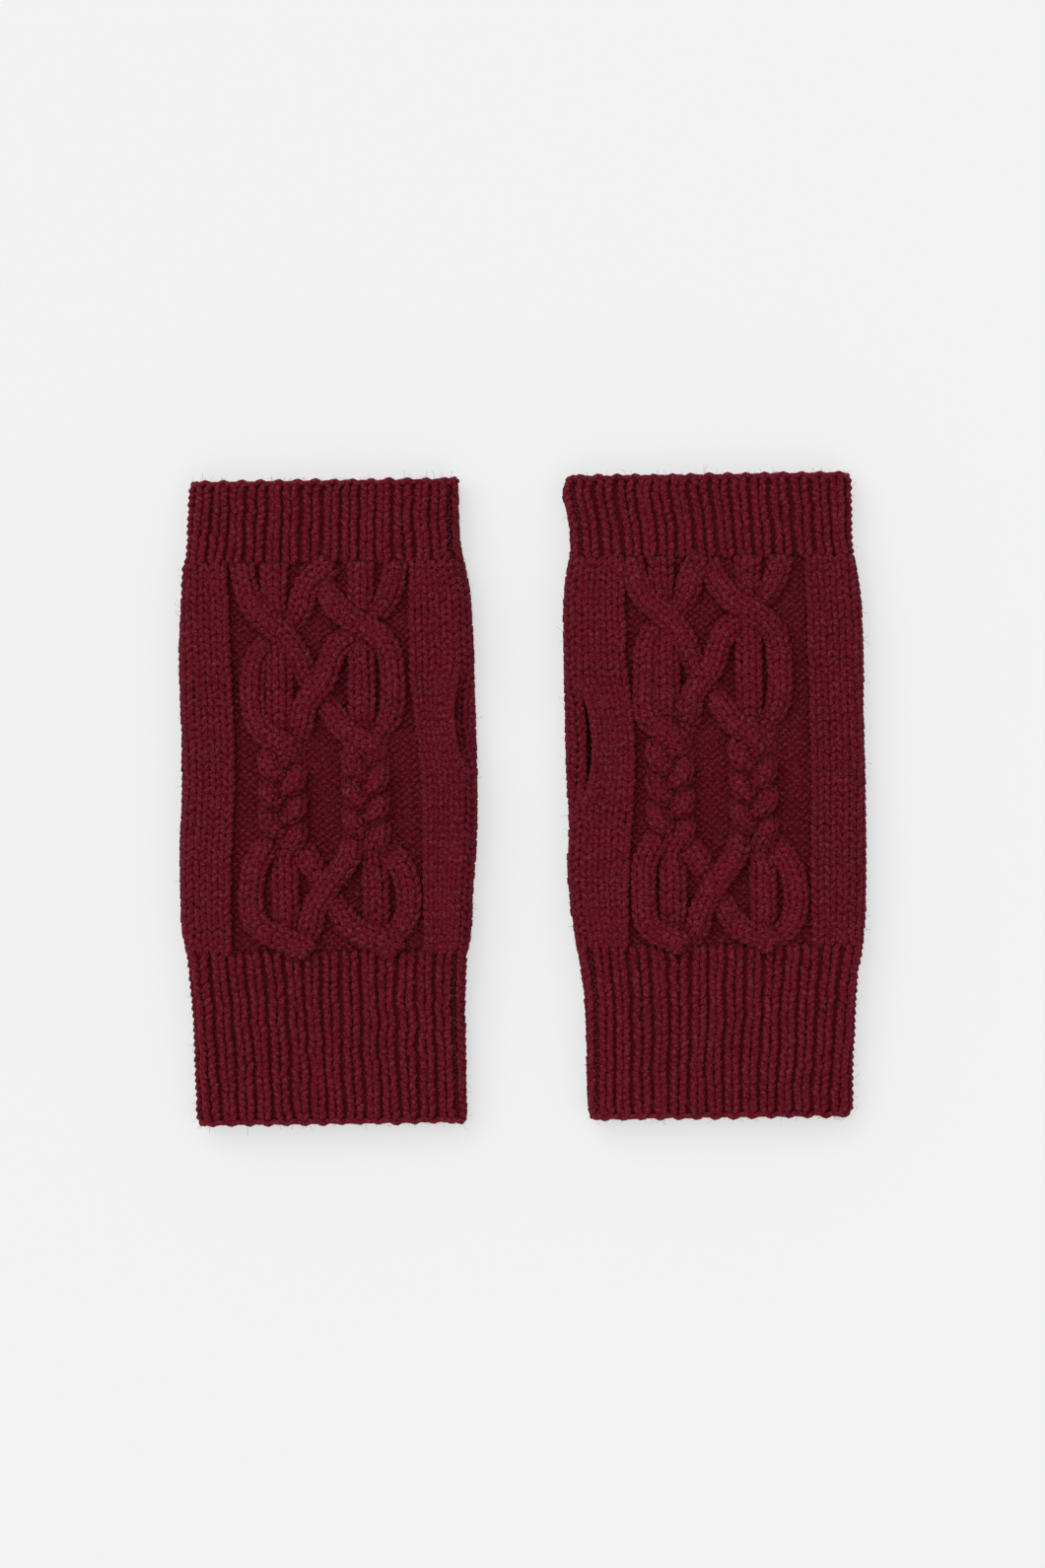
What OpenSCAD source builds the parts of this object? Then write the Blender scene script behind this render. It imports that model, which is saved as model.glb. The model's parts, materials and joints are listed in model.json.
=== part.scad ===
// Pair of hand-knitted fingerless gloves, lying flat side by side.
// Millimetres. The gloves rest on z = 0, the finger ends point along +Y and
// the backs of the hands face +Z. Each glove is a flat tube: a palm layer and
// a back layer, folded at the little-finger side and sewn at the thumb side.

/* [Pair] */
// Distance between the centre lines of the two gloves
pair_pitch = 125; // [115:1:170]
// How much further towards the finger ends the right glove lies
pair_stagger = 2; // [0:0.5:20]
// Turn of each glove as it lies, counter-clockwise seen from above
lay_turn = 0.8; // [0:0.1:1.5]

/* [Glove] */
// Length from the cast-on edge to the bind-off edge
glove_len = 210; // [190:1:230]
// Width across the hand at its widest
hand_w = 97; // [90:0.5:105]
// How far each side bulges past its ends along the hand
hand_bulge = 2.6; // [1:0.1:5]
// Length of the long rib at the wrist
wrist_len = 56; // [40:1:70]
// Width of the wrist rib
wrist_w = 88.5; // [80:0.5:92]
// Length of the short rib at the fingers
finger_len = 27; // [18:1:35]
// Width of the left finger rib
finger_w_left = 88.5; // [80:0.5:94]
// Width of the right finger rib
finger_w_right = 91.5; // [80:0.5:94]

/* [Knitted fabric] */
// Thickness of one layer of plain knitting
fabric_t = 2.8; // [2.2:0.1:3]
// Space for the hand between the layers, lying flat
hand_gap = 5.2; // [4.8:0.1:8]
// How much lower the purled ground lies than the plain borders
ground_drop = 0.6; // [0:0.1:1]
// Width of the purled ground under the cables
ground_w = 60; // [56:1:64]
// Rib ridges across each layer of a cuff
rib_ridges = 15; // [11:2:19]
// Diameter of the chain edges and of the edges of the thumb slit
edge_d = 3; // [2.4:0.1:3]
// Width of the sewn seam along the thumb side
seam_w = 1.6; // [1:0.1:2.2]

/* [Thumb slit] */
// Upper end of the left slit, from the middle of the glove
slit_top_left = 43.5; // [30:0.5:50]
// Lower end of the left slit
slit_end_left = 13; // [0:0.5:20]
// Upper end of the right slit
slit_top_right = 35; // [30:0.5:50]
// Lower end of the right slit
slit_end_right = 1; // [0:0.5:20]

/* [Cables] */
// Distance of each cable column from the middle of the pattern
column_x = 13.5; // [12:0.5:15]
// Shift of the pattern from the left glove's centre line
pattern_shift_left = -1.9; // [-3:0.1:3]
// Shift of the pattern from the right glove's centre line
pattern_shift_right = -0.9; // [-3:0.1:3]
// Stretch of the right glove's pattern along the hand
pattern_stretch_right = 1.05; // [0.95:0.01:1.06]
// Width of a strand in the ovals
strand_w = 7.4; // [6:0.1:8]
// Width of a strand in the plaits
plait_strand_w = 6; // [5:0.1:6.5]
// Height of a strand that passes over another, above the ground
over_h = 2.8; // [2:0.1:3.5]
// Height of a strand that passes under another
under_h = 1.2; // [0.8:0.1:1.8]
// Start of the plaits, from the middle of the glove
plait_top = 13.5; // [12:0.5:16]
// End of the plaits
plait_end = -13; // [-16:0.5:-10]
// Half the width between the outer strands of a plait
plait_swing = 4.6; // [4:0.1:5]
// Length in which a plait strand comes back to the same side
plait_pitch = 27.6; // [24:0.1:32]

/* [Hidden] */
// Running gap between pieces that move apart
clear = 0.3;
// Gap at the fold lines of the cuffs
fold_clear = 0.4;
// Heights of the layers
roll_r = fabric_t + hand_gap / 2;
roll_in = hand_gap / 2;
deck_z = 2 * roll_r;
back_z = deck_z - fabric_t;
ground_z = deck_z - ground_drop;
edge_r = edge_d / 2;
// Ends of the parts along Y
tip_y = glove_len / 2;
knuckle_y = tip_y - finger_len;
wrist_y = -tip_y + wrist_len;
// The sides of the hand are arcs about far centres
side_mid_y = (knuckle_y + wrist_y) / 2;
side_half = (knuckle_y - wrist_y) / 2;
side_r = (side_half * side_half + hand_bulge * hand_bulge) / (2 * hand_bulge);
arc_fn = 720;
arc_deg = 14;
// Ridges of the ribs
ridge_r = 2;
rib_web = 1.2;
// Steps of the swept strands
strand_step = 4.2;
section_sides = 5;
// Routes of the six strands above the plaits: [y, column, offset, over or under].
// The columns are -1, 0 for the middle, and 1. Over is 1 and under is 0.
upper_routes = [
    [[77.5, -1, -12.5, 0.6], [70.5, -1, -11.2, 0.6], [63.2, -1, -8.6, 0.8], [58.4, -1, -4, 1],
     [54.4, -1, 1, 1], [47.9, -1, 5.4, 0.8], [42.3, -1, 7.8, 0.5], [35, 0, -1.5, 0],
     [28.7, 1, -10.4, 0.6], [22.5, 1, -6, 0.9], [18, 1, 1, 1]],
    [[77.5, -1, -2, 0.7], [66, -1, -2, 0.6], [58, -1, -1.2, 0], [50, -1, -0.8, 0.4],
     [46, -1, -0.6, 0.8], [30, -1, -0.6, 0.8], [23, -1, -0.8, 0.1], [18.5, -1, -1.5, 0]],
    [[77.5, 0, 3.5, 0.7], [73.7, 0, -1.5, 0.8], [69.7, -1, 8, 0.7], [64, -1, 6.7, 0.8],
     [60, -1, 4.6, 0.2], [54.4, -1, -1.4, 0], [50.8, -1, -5.6, 0.4], [45.5, -1, -8.6, 0.7],
     [38.3, -1, -9.7, 0.7], [30.3, -1, -9.2, 0.7], [24.6, -1, -7.4, 0.9], [21, -1, -3.4, 1],
     [17.6, -1, 2.2, 1]],
    [[77.5, 0, -1, 0], [71.3, 0, 0.3, 0.3], [65.6, 0, 3.3, 0.6], [60.8, 1, -6.3, 0.9],
     [56.8, 1, 0.3, 1], [53.5, 1, 5.4, 1], [49.5, 1, 7.9, 0.8], [43, 1, 9.1, 0.7],
     [35, 1, 9.3, 0.7], [28, 1, 8.4, 0.6], [22.5, 1, 4.5, 0.1]],
    [[77.5, 1, -0.8, 0.7], [66, 1, -0.8, 0.6], [60, 1, -0.8, 0], [52, 1, -0.9, 0.4],
     [48, 1, -0.9, 0.8], [30, 1, -0.9, 0.8], [23, 1, -0.6, 0.1], [19.5, 1, 0, 0]],
    [[77.5, 1, 11, 0.6], [69.7, 1, 9.2, 0.6], [63.2, 1, 5.9, 0.5], [59.2, 1, 1.8, 0],
     [54.4, 1, -3.1, 0.4], [50.4, 0, 4.7, 0.9], [44.7, 0, 2.2, 1], [40, 0, 0.7, 1],
     [35, 0, -3.6, 1], [30.3, -1, 7, 1], [25, -1, 6.4, 0.8], [21.6, -1, 5, 0]],
];
// Routes of the strands below the plaits
lower_routes = [
    [[-18.8, 1, 9.4, 0.7], [-25.2, 1, 12.8, 0.7], [-32.5, 1, 13.6, 0.7], [-38.9, 1, 12.2, 0.6],
     [-43, 1, 8.4, 0.3], [-48.5, 1, 1.5, 0]],
    [[-17.2, -1, -8, 0.7], [-23.6, -1, -10.3, 0.7], [-30, -1, -10.9, 0.7], [-37.3, -1, -10.2, 0.8],
     [-41, -1, -7.6, 1], [-43.5, -1, -2.8, 1], [-45.6, -1, 2.6, 1], [-48.5, -1, 8.4, 0.9]],
    [[-17.2, -1, 7.2, 0.9], [-22.8, -1, 10.7, 0.5], [-28, 0, -0.4, 0], [-34, 0, 3.4, 0.5], [-40.3, 1, -5.6, 0.8],
     [-43.2, 1, -0.8, 1], [-45.2, 1, 4.4, 1], [-48.5, 1, 10.2, 1]],
    [[-19, 1, 2, 0.2], [-22, 1, 2.6, 0.7], [-35.6, 1, 2.9, 0.8], [-41.4, 1, 2.4, 0.1], [-48.5, 1, 0, 0]],
    [[-18, 1, -5.8, 1], [-23.6, 0, 3.6, 1], [-29.2, 0, -0.5, 1], [-34.9, 0, -3.8, 1],
     [-40.5, -1, 8.2, 0.8], [-43.5, -1, 6.6, 0.1], [-48.5, -1, 0, 0]],
    [[-19, -1, 0, 0.2], [-22, -1, 0.4, 0.7], [-35.6, -1, 0.6, 0.8], [-41.4, -1, 0.4, 0.1], [-48.5, -1, 0, 0]],
];
// Which plait each strand joins, and its place in it
plait_column = [1, -1, -1, 1, 1, -1];
plait_phase = [322, 202, 322, 82, 202, 82];

SIDES = ["left", "right"];
GLOVE_NODES = [
    "palm_panel", "palm_fold", "thumb_side_upper", "thumb_side_lower", "seam_upper",
    "seam_lower", "slit_edge_palm", "back_ground", "outer_border", "thumb_border",
    "cables", "slit_edge_back", "wrist_rib_back", "wrist_rib_palm", "wrist_fold",
    "wrist_seam_side", "wrist_seam", "cast_on_back", "cast_on_palm", "finger_rib_back",
    "finger_rib_palm", "finger_fold", "finger_seam_side", "finger_seam", "bind_off_back",
    "bind_off_palm"
];

// One number per glove: the left glove's thumb side is at +X, the right one's at -X
function thumb_sign(side) = side == "left" ? 1 : -1;
function slit_top(side) = side == "left" ? slit_top_left : slit_top_right;
function slit_end(side) = side == "left" ? slit_end_left : slit_end_right;
function finger_w(side) = side == "left" ? finger_w_left : finger_w_right;
function pattern_shift(side) = side == "left" ? pattern_shift_left : pattern_shift_right;
function pattern_stretch(side) = side == "left" ? 1 : pattern_stretch_right;

// Shape of a strand: a smooth step between the two route points around y
function ease(t) = t * t * (3 - 2 * t);
function route_x(p) = p[1] * column_x + p[2];
function plait_angle(k, y) = 360 * (plait_top - y) / plait_pitch + plait_phase[k];
function plait_point(k, y) = [
    y, plait_column[k], plait_swing * cos(plait_angle(k, y)), 0.5 + 0.5 * sin(2 * plait_angle(k, y))
];
function strand_route(k) = concat(
    upper_routes[k],
    [for (i = [0 : 1 : 6]) plait_point(k, plait_top + (plait_end - plait_top) * i / 6)],
    lower_routes[k]
);
function route_index(route, y) = len([for (p = route) if (p[0] > y) 1]);
function between(a, b, y) = (a[0] - y) / (a[0] - b[0]);
function strand_x(route, y, i) = route_x(route[i - 1])
    + (route_x(route[i]) - route_x(route[i - 1])) * ease(between(route[i - 1], route[i], y));
function strand_level(route, y, i) = route[i - 1][3]
    + (route[i][3] - route[i - 1][3]) * ease(between(route[i - 1], route[i], y));
function in_plait(y) = y < plait_top && y > plait_end;

// The whole of one glove's place on the table
module lay(side) {
    s = side == "left" ? -1 : 1;
    translate([s * pair_pitch / 2, s * pair_stagger / 2, 0])
        rotate([0, 0, lay_turn])
            children();
}

// A piece drawn for a thumb at +X, turned over for the right glove
module handed(side) {
    if (side == "left") children();
    else mirror([1, 0, 0]) children();
}

// The rolled edge of the tube: half a thick-walled pipe, open towards the hand
module roll_profile(from_x, to_x, from_z) {
    intersection() {
        difference() {
            circle(r = roll_r, $fn = 64);
            circle(r = roll_in, $fn = 64);
        }
        translate([from_x, from_z])
            square([to_x - from_x, roll_r - from_z]);
    }
}

// A strip that follows the bulging thumb side of the hand between two heights
module hand_side_strip(from_y, to_y) {
    intersection() {
        translate([hand_w / 2 - side_r, side_mid_y, roll_r])
            rotate([0, 0, -arc_deg / 2])
                rotate_extrude(angle = arc_deg, $fn = arc_fn)
                    translate([side_r - roll_r, 0])
                        children();
        translate([0, from_y, -1])
            cube([hand_w, to_y - from_y, deck_z + 2]);
    }
}

// The inside of the arc at one side of the hand, s is 1 at +X and -1 at -X
module side_disc(s, z, t, inset) {
    translate([s * (hand_w / 2 - side_r), side_mid_y, z])
        cylinder(r = side_r - inset, h = t, $fn = arc_fn);
}

// A flat sheet along the hand, from from_x to to_x
module hand_sheet(from_x, to_x, z, t) {
    translate([from_x, wrist_y + fold_clear / 2, z])
        cube([to_x - from_x, knuckle_y - wrist_y - fold_clear, t]);
}

// The palm layer: a plain knitted sheet between the rolled edges
module palm_panel(side) {
    color("#56141d")
        intersection() {
            hand_sheet(-hand_w / 2, hand_w / 2, 0, fabric_t);
            side_disc(1, -1, fabric_t + 2, roll_r);
            side_disc(-1, -1, fabric_t + 2, roll_r);
        }
}

// The fold at the little-finger side
module palm_fold(side) {
    color("#5a1620")
        handed(side)
            mirror([1, 0, 0])
                hand_side_strip(wrist_y + fold_clear / 2, knuckle_y - fold_clear / 2)
                    roll_profile(0, roll_r, -roll_r);
}

// The thumb side of the hand, in two stretches with the slit between them
module thumb_side(side, from_y, to_y) {
    color("#5a1620")
        handed(side)
            hand_side_strip(from_y, to_y)
                difference() {
                    roll_profile(0, roll_r, -roll_r);
                    square([seam_w, roll_r]);
                }
}

module thumb_side_upper(side) {
    thumb_side(side, slit_top(side), knuckle_y - fold_clear / 2);
}

module thumb_side_lower(side) {
    thumb_side(side, wrist_y + fold_clear / 2, slit_end(side));
}

// The seam that closes the thumb side above and below the slit
module seam(side, from_y, to_y) {
    color("#47101a")
        handed(side)
            hand_side_strip(from_y, to_y)
                roll_profile(0, seam_w, 0);
}

module seam_upper(side) {
    seam(side, slit_top(side), knuckle_y - fold_clear / 2);
}

module seam_lower(side) {
    seam(side, wrist_y + fold_clear / 2, slit_end(side));
}

// The finished edge of one layer along the thumb slit
module slit_edge(side, z, inset) {
    color("#651a26")
        handed(side)
            hand_side_strip(slit_end(side) + fold_clear, slit_top(side) - fold_clear)
                translate([edge_r - inset, z - roll_r])
                    circle(r = edge_r, $fn = 32);
}

module slit_edge_palm(side) {
    slit_edge(side, edge_r, 0);
}

module slit_edge_back(side) {
    slit_edge(side, deck_z - edge_r, clear);
}

// The back layer: a purled ground between two plain borders
module back_ground(side) {
    shift = pattern_shift(side);
    color("#48111a")
        hand_sheet(shift - ground_w / 2, shift + ground_w / 2, back_z, ground_z - back_z);
}

// A plain border, drawn at +X, whose inner edge is at inner_x
module border(inner_x) {
    color("#56141d")
        intersection() {
            hand_sheet(inner_x, hand_w / 2, back_z, fabric_t);
            side_disc(1, back_z - 1, fabric_t + 2, roll_r + clear);
        }
}

module outer_border(side) {
    handed(side)
        mirror([1, 0, 0])
            border(ground_w / 2 - thumb_sign(side) * pattern_shift(side));
}

module thumb_border(side) {
    handed(side)
        border(ground_w / 2 + thumb_sign(side) * pattern_shift(side));
}

// One strand: a low dome over the ground, lofted from rings across the hand
module strand(k, stretch) {
    route = strand_route(k);
    top = route[0][0];
    rings = ceil((top - route[len(route) - 1][0]) / strand_step);
    ys = [for (i = [0 : rings]) top + (route[len(route) - 1][0] - top) * min(i / rings, 0.9999) - 0.001];
    ring = [for (y = ys) let (
            i = route_index(route, y),
            half = (in_plait(y) ? plait_strand_w : strand_w) / 2,
            tall = under_h + (over_h - under_h) * strand_level(route, y, i),
            x = strand_x(route, y, i)
        )
        [for (a = [0 : section_sides]) [
            x + half * cos(180 * a / section_sides),
            max(min(y * stretch, knuckle_y - clear), wrist_y + clear),
            tall * sin(180 * a / section_sides)
        ]]];
    n = section_sides + 1;
    polyhedron(
        points = [for (r = ring) for (p = r) p],
        faces = concat(
            [[for (a = [0 : n - 1]) a]],
            [for (j = [0 : rings - 1]) for (a = [0 : n - 1])
                [j * n + a, (j + 1) * n + a, (j + 1) * n + (a + 1) % n, j * n + (a + 1) % n]],
            [[for (a = [n - 1 : -1 : 0]) rings * n + a]]
        ),
        convexity = 6
    );
}

// The cables: six strands that cross between two columns
module cables(side) {
    color("#661c29")
        translate([pattern_shift(side), 0, ground_z])
            for (k = [0 : 5])
                strand(k, pattern_stretch(side));
}

// One layer of a ribbed cuff: ridges along Y on a thin web, ridges facing +Z
module rib_layer(w, from_y, to_y) {
    flat_w = w - 2 * roll_r;
    pitch = flat_w / rib_ridges;
    color("#50131c")
        intersection() {
            union() {
                translate([-flat_w / 2, from_y, 0])
                    cube([flat_w, to_y - from_y, rib_web]);
                for (i = [0 : rib_ridges - 1])
                    translate([-flat_w / 2 + (i + 0.5) * pitch, to_y, fabric_t - ridge_r])
                        rotate([90, 0, 0])
                            cylinder(r = ridge_r, h = to_y - from_y, $fn = 32);
            }
            translate([-flat_w / 2, from_y, 0])
                cube([flat_w, to_y - from_y, fabric_t - 0.1]);
        }
}

module rib_back(w, from_y, to_y) {
    translate([0, 0, back_z])
        rib_layer(w, from_y, to_y);
}

module rib_palm(w, from_y, to_y) {
    translate([0, 0, fabric_t - 0.1])
        mirror([0, 0, 1])
            rib_layer(w, from_y, to_y);
}

// The side of a cuff: a straight rolled edge
module cuff_roll(w, from_y, to_y) {
    translate([w / 2 - roll_r, to_y, roll_r])
        rotate([90, 0, 0])
            linear_extrude(to_y - from_y)
                children();
}

module cuff_fold(side, w, from_y, to_y) {
    color("#561520")
        handed(side)
            mirror([1, 0, 0])
                cuff_roll(w, from_y, to_y)
                    roll_profile(0, roll_r, -roll_r);
}

module cuff_seam_side(side, w, from_y, to_y) {
    color("#561520")
        handed(side)
            cuff_roll(w, from_y, to_y)
                difference() {
                    roll_profile(0, roll_r, -roll_r);
                    square([seam_w, roll_r]);
                }
}

module cuff_seam(side, w, from_y, to_y) {
    color("#47101a")
        handed(side)
            cuff_roll(w, from_y, to_y)
                roll_profile(0, seam_w, 0);
}

// A chain edge: a straight cord across one layer at the open end
module chain_edge(w, y, z) {
    color("#651a26")
        translate([-w / 2 + roll_r, y, z])
            rotate([0, 90, 0])
                cylinder(r = edge_r, h = w - 2 * roll_r, $fn = 32);
}

// The long cuff at the wrist
wrist_from = -tip_y;
wrist_rib_from = wrist_from + edge_d;
wrist_to = wrist_y - fold_clear / 2;

module wrist_rib_back(side) {
    rib_back(wrist_w, wrist_rib_from, wrist_to);
}

module wrist_rib_palm(side) {
    rib_palm(wrist_w, wrist_rib_from, wrist_to);
}

module wrist_fold(side) {
    cuff_fold(side, wrist_w, wrist_from, wrist_to);
}

module wrist_seam_side(side) {
    cuff_seam_side(side, wrist_w, wrist_from, wrist_to);
}

module wrist_seam(side) {
    cuff_seam(side, wrist_w, wrist_from, wrist_to);
}

module cast_on_back(side) {
    chain_edge(wrist_w, wrist_from + edge_r, deck_z - edge_r);
}

module cast_on_palm(side) {
    chain_edge(wrist_w, wrist_from + edge_r, edge_r);
}

// The short cuff at the fingers
finger_from = knuckle_y + fold_clear / 2;
finger_to = tip_y;
finger_rib_to = finger_to - edge_d;

module finger_rib_back(side) {
    rib_back(finger_w(side), finger_from, finger_rib_to);
}

module finger_rib_palm(side) {
    rib_palm(finger_w(side), finger_from, finger_rib_to);
}

module finger_fold(side) {
    cuff_fold(side, finger_w(side), finger_from, finger_to);
}

module finger_seam_side(side) {
    cuff_seam_side(side, finger_w(side), finger_from, finger_to);
}

module finger_seam(side) {
    cuff_seam(side, finger_w(side), finger_from, finger_to);
}

module bind_off_back(side) {
    chain_edge(finger_w(side), finger_to - edge_r, deck_z - edge_r);
}

module bind_off_palm(side) {
    chain_edge(finger_w(side), finger_to - edge_r, edge_r);
}

lay("left") palm_panel("left");  // left_palm_panel
lay("left") palm_fold("left");  // left_palm_fold
lay("left") thumb_side_upper("left");  // left_thumb_side_upper
lay("left") thumb_side_lower("left");  // left_thumb_side_lower
lay("left") seam_upper("left");  // left_seam_upper
lay("left") seam_lower("left");  // left_seam_lower
lay("left") slit_edge_palm("left");  // left_slit_edge_palm
lay("left") back_ground("left");  // left_back_ground
lay("left") outer_border("left");  // left_outer_border
lay("left") thumb_border("left");  // left_thumb_border
lay("left") cables("left");  // left_cables
lay("left") slit_edge_back("left");  // left_slit_edge_back
lay("left") wrist_rib_back("left");  // left_wrist_rib_back
lay("left") wrist_rib_palm("left");  // left_wrist_rib_palm
lay("left") wrist_fold("left");  // left_wrist_fold
lay("left") wrist_seam_side("left");  // left_wrist_seam_side
lay("left") wrist_seam("left");  // left_wrist_seam
lay("left") cast_on_back("left");  // left_cast_on_back
lay("left") cast_on_palm("left");  // left_cast_on_palm
lay("left") finger_rib_back("left");  // left_finger_rib_back
lay("left") finger_rib_palm("left");  // left_finger_rib_palm
lay("left") finger_fold("left");  // left_finger_fold
lay("left") finger_seam_side("left");  // left_finger_seam_side
lay("left") finger_seam("left");  // left_finger_seam
lay("left") bind_off_back("left");  // left_bind_off_back
lay("left") bind_off_palm("left");  // left_bind_off_palm
lay("right") palm_panel("right");  // right_palm_panel
lay("right") palm_fold("right");  // right_palm_fold
lay("right") thumb_side_upper("right");  // right_thumb_side_upper
lay("right") thumb_side_lower("right");  // right_thumb_side_lower
lay("right") seam_upper("right");  // right_seam_upper
lay("right") seam_lower("right");  // right_seam_lower
lay("right") slit_edge_palm("right");  // right_slit_edge_palm
lay("right") back_ground("right");  // right_back_ground
lay("right") outer_border("right");  // right_outer_border
lay("right") thumb_border("right");  // right_thumb_border
lay("right") cables("right");  // right_cables
lay("right") slit_edge_back("right");  // right_slit_edge_back
lay("right") wrist_rib_back("right");  // right_wrist_rib_back
lay("right") wrist_rib_palm("right");  // right_wrist_rib_palm
lay("right") wrist_fold("right");  // right_wrist_fold
lay("right") wrist_seam_side("right");  // right_wrist_seam_side
lay("right") wrist_seam("right");  // right_wrist_seam
lay("right") cast_on_back("right");  // right_cast_on_back
lay("right") cast_on_palm("right");  // right_cast_on_palm
lay("right") finger_rib_back("right");  // right_finger_rib_back
lay("right") finger_rib_palm("right");  // right_finger_rib_palm
lay("right") finger_fold("right");  // right_finger_fold
lay("right") finger_seam_side("right");  // right_finger_seam_side
lay("right") finger_seam("right");  // right_finger_seam
lay("right") bind_off_back("right");  // right_bind_off_back
lay("right") bind_off_palm("right");  // right_bind_off_palm
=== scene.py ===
import json
import math

import bpy
import numpy as np
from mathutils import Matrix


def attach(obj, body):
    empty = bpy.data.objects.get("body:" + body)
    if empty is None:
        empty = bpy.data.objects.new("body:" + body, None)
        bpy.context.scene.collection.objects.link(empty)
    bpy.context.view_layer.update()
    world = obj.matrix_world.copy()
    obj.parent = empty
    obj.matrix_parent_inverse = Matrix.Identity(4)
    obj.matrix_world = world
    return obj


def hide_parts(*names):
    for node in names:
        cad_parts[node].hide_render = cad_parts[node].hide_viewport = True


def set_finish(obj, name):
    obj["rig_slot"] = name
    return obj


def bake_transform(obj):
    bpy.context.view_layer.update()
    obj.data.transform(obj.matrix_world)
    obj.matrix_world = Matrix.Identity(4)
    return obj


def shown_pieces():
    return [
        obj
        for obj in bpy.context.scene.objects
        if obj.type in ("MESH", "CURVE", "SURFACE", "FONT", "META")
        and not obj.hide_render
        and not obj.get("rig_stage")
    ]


# A pair of hand-knitted fingerless gloves, lying flat, built stitch by stitch.
# The yarn is worked out in millimetres on each glove and put into the scene in metres.
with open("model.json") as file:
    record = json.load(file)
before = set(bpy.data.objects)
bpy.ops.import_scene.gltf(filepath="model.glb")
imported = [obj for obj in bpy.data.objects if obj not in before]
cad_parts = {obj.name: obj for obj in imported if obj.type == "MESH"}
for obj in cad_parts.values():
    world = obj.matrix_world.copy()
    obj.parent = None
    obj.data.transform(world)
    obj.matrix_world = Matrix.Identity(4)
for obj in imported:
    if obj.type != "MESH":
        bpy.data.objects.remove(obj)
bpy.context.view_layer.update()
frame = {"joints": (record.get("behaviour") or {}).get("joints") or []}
hingeOf = {j["name"]: np.array(j["pos_m"]) for j in frame["joints"] if "pos_m" in j}
pi = math.pi


# Objects, materials and nodes

def newObject(name, data):
    made = bpy.data.objects.new(name, data)
    bpy.context.scene.collection.objects.link(made)
    return made


def newMaterial(name):
    material = bpy.data.materials.new(name)
    material.use_nodes = True
    return material, material.node_tree, material.node_tree.nodes["Principled BSDF"]


# Each input of the node gets a fixed value or a link from another node's socket
def setInputs(tree, node, inputs):
    for socket, value in inputs.items():
        if isinstance(value, bpy.types.NodeSocket):
            tree.links.new(value, node.inputs[socket])
        else:
            node.inputs[socket].default_value = value


def addNode(tree, kind, inputs=None, **settings):
    node = tree.nodes.new(kind)
    for name, value in settings.items():
        setattr(node, name, value)
    setInputs(tree, node, inputs or {})
    return node


def addMath(tree, operation, a, b=0.0):
    return addNode(tree, "ShaderNodeMath", {0: a, 1: b}, operation=operation).outputs[0]


def newGroup(name, kind, inputs, outputs):
    tree = bpy.data.node_groups.new(name, kind)
    for way, sockets in (("INPUT", inputs), ("OUTPUT", outputs)):
        for socketName, socketKind, *value in sockets:
            socket = tree.interface.new_socket(
                socketName, in_out=way, socket_type="NodeSocket" + socketKind)
            if value:
                socket.default_value = value[0]
    return tree, tree.nodes.new("NodeGroupInput"), tree.nodes.new("NodeGroupOutput")


# Camera, floor and lights

cameraSettings = {
    "lens": 85.0, "sensor": 36.0, "viewLength": 0.5113, "centreY": 0.0049, "lookHeight": 0.008,
    "near": 0.05, "far": 20,
}
lightSettings = {
    "world": (1.0, 0.995, 0.99), "worldStrength": 0.66,
    "keyFrom": (-0.62, 0.55, 1.0), "keySpread": 60, "keyStrength": 1.32,
    "fillAt": (1.5, -1.2, 2.6), "fillSize": 1.6, "fillPower": 5.0,
}
floorSettings = {
    "size": 16.0, "below": 0.0002, "colour": (0.36, 0.36, 0.36), "glow": 0.525,
    "rough": 0.95, "shine": 0.1,
}


def makeCamera(s):
    data = bpy.data.cameras.new("camera")
    data.lens, data.sensor_width = s["lens"], s["sensor"]
    data.clip_start, data.clip_end = s["near"], s["far"]
    camera = newObject("camera", data)
    distance = s["viewLength"] * s["lens"] / s["sensor"]
    camera.location = (0, s["centreY"], s["lookHeight"] + distance)
    bpy.context.scene.camera = camera


def makeFloor(s):
    half = s["size"] / 2
    corners = [(x * half, y * half, -s["below"]) for x, y in ((-1, -1), (1, -1), (1, 1), (-1, 1))]
    mesh = bpy.data.meshes.new("floor")
    mesh.from_pydata(corners, [], [(0, 1, 2, 3)])
    floor = newObject("floor", mesh)
    material, tree, surface = newMaterial("paleFloor")
    setInputs(tree, surface, {
        "Base Color": (*s["colour"], 1), "Emission Color": (1, 1, 1, 1), "Emission Strength": s["glow"],
        "Roughness": s["rough"], "Specular IOR Level": s["shine"]})
    mesh.materials.append(material)
    floor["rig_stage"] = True


# A light that shines from its place towards the middle of the pair
def makeLight(name, kind, power, place):
    data = bpy.data.lights.new(name, kind)
    data.energy = power
    light = newObject(name, data)
    light.location = place
    light.rotation_euler = light.location.to_track_quat("Z", "Y").to_euler()
    return light


def makeLights(s):
    world = bpy.data.worlds.new("studio")
    world.use_nodes = True
    setInputs(world.node_tree, world.node_tree.nodes["Background"], {
        "Color": (*s["world"], 1), "Strength": s["worldStrength"]})
    bpy.context.scene.world = world
    key = makeLight("keyLight", "SUN", s["keyStrength"], s["keyFrom"])
    key.data.angle = math.radians(s["keySpread"])
    fill = makeLight("fillLight", "AREA", s["fillPower"], s["fillAt"])
    fill.data.shape, fill.data.size = "DISK", s["fillSize"]
    bpy.context.scene.view_settings.view_transform = "Standard"


makeCamera(cameraSettings)
makeFloor(floorSettings)
makeLights(lightSettings)
print("stage: camera, floor and lights")


# Wool: yarn shows its twist, has painted light on its crowns and painted shade in its hollows, and has
# pale flecks painted as glints of fibres catching the light

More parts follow.
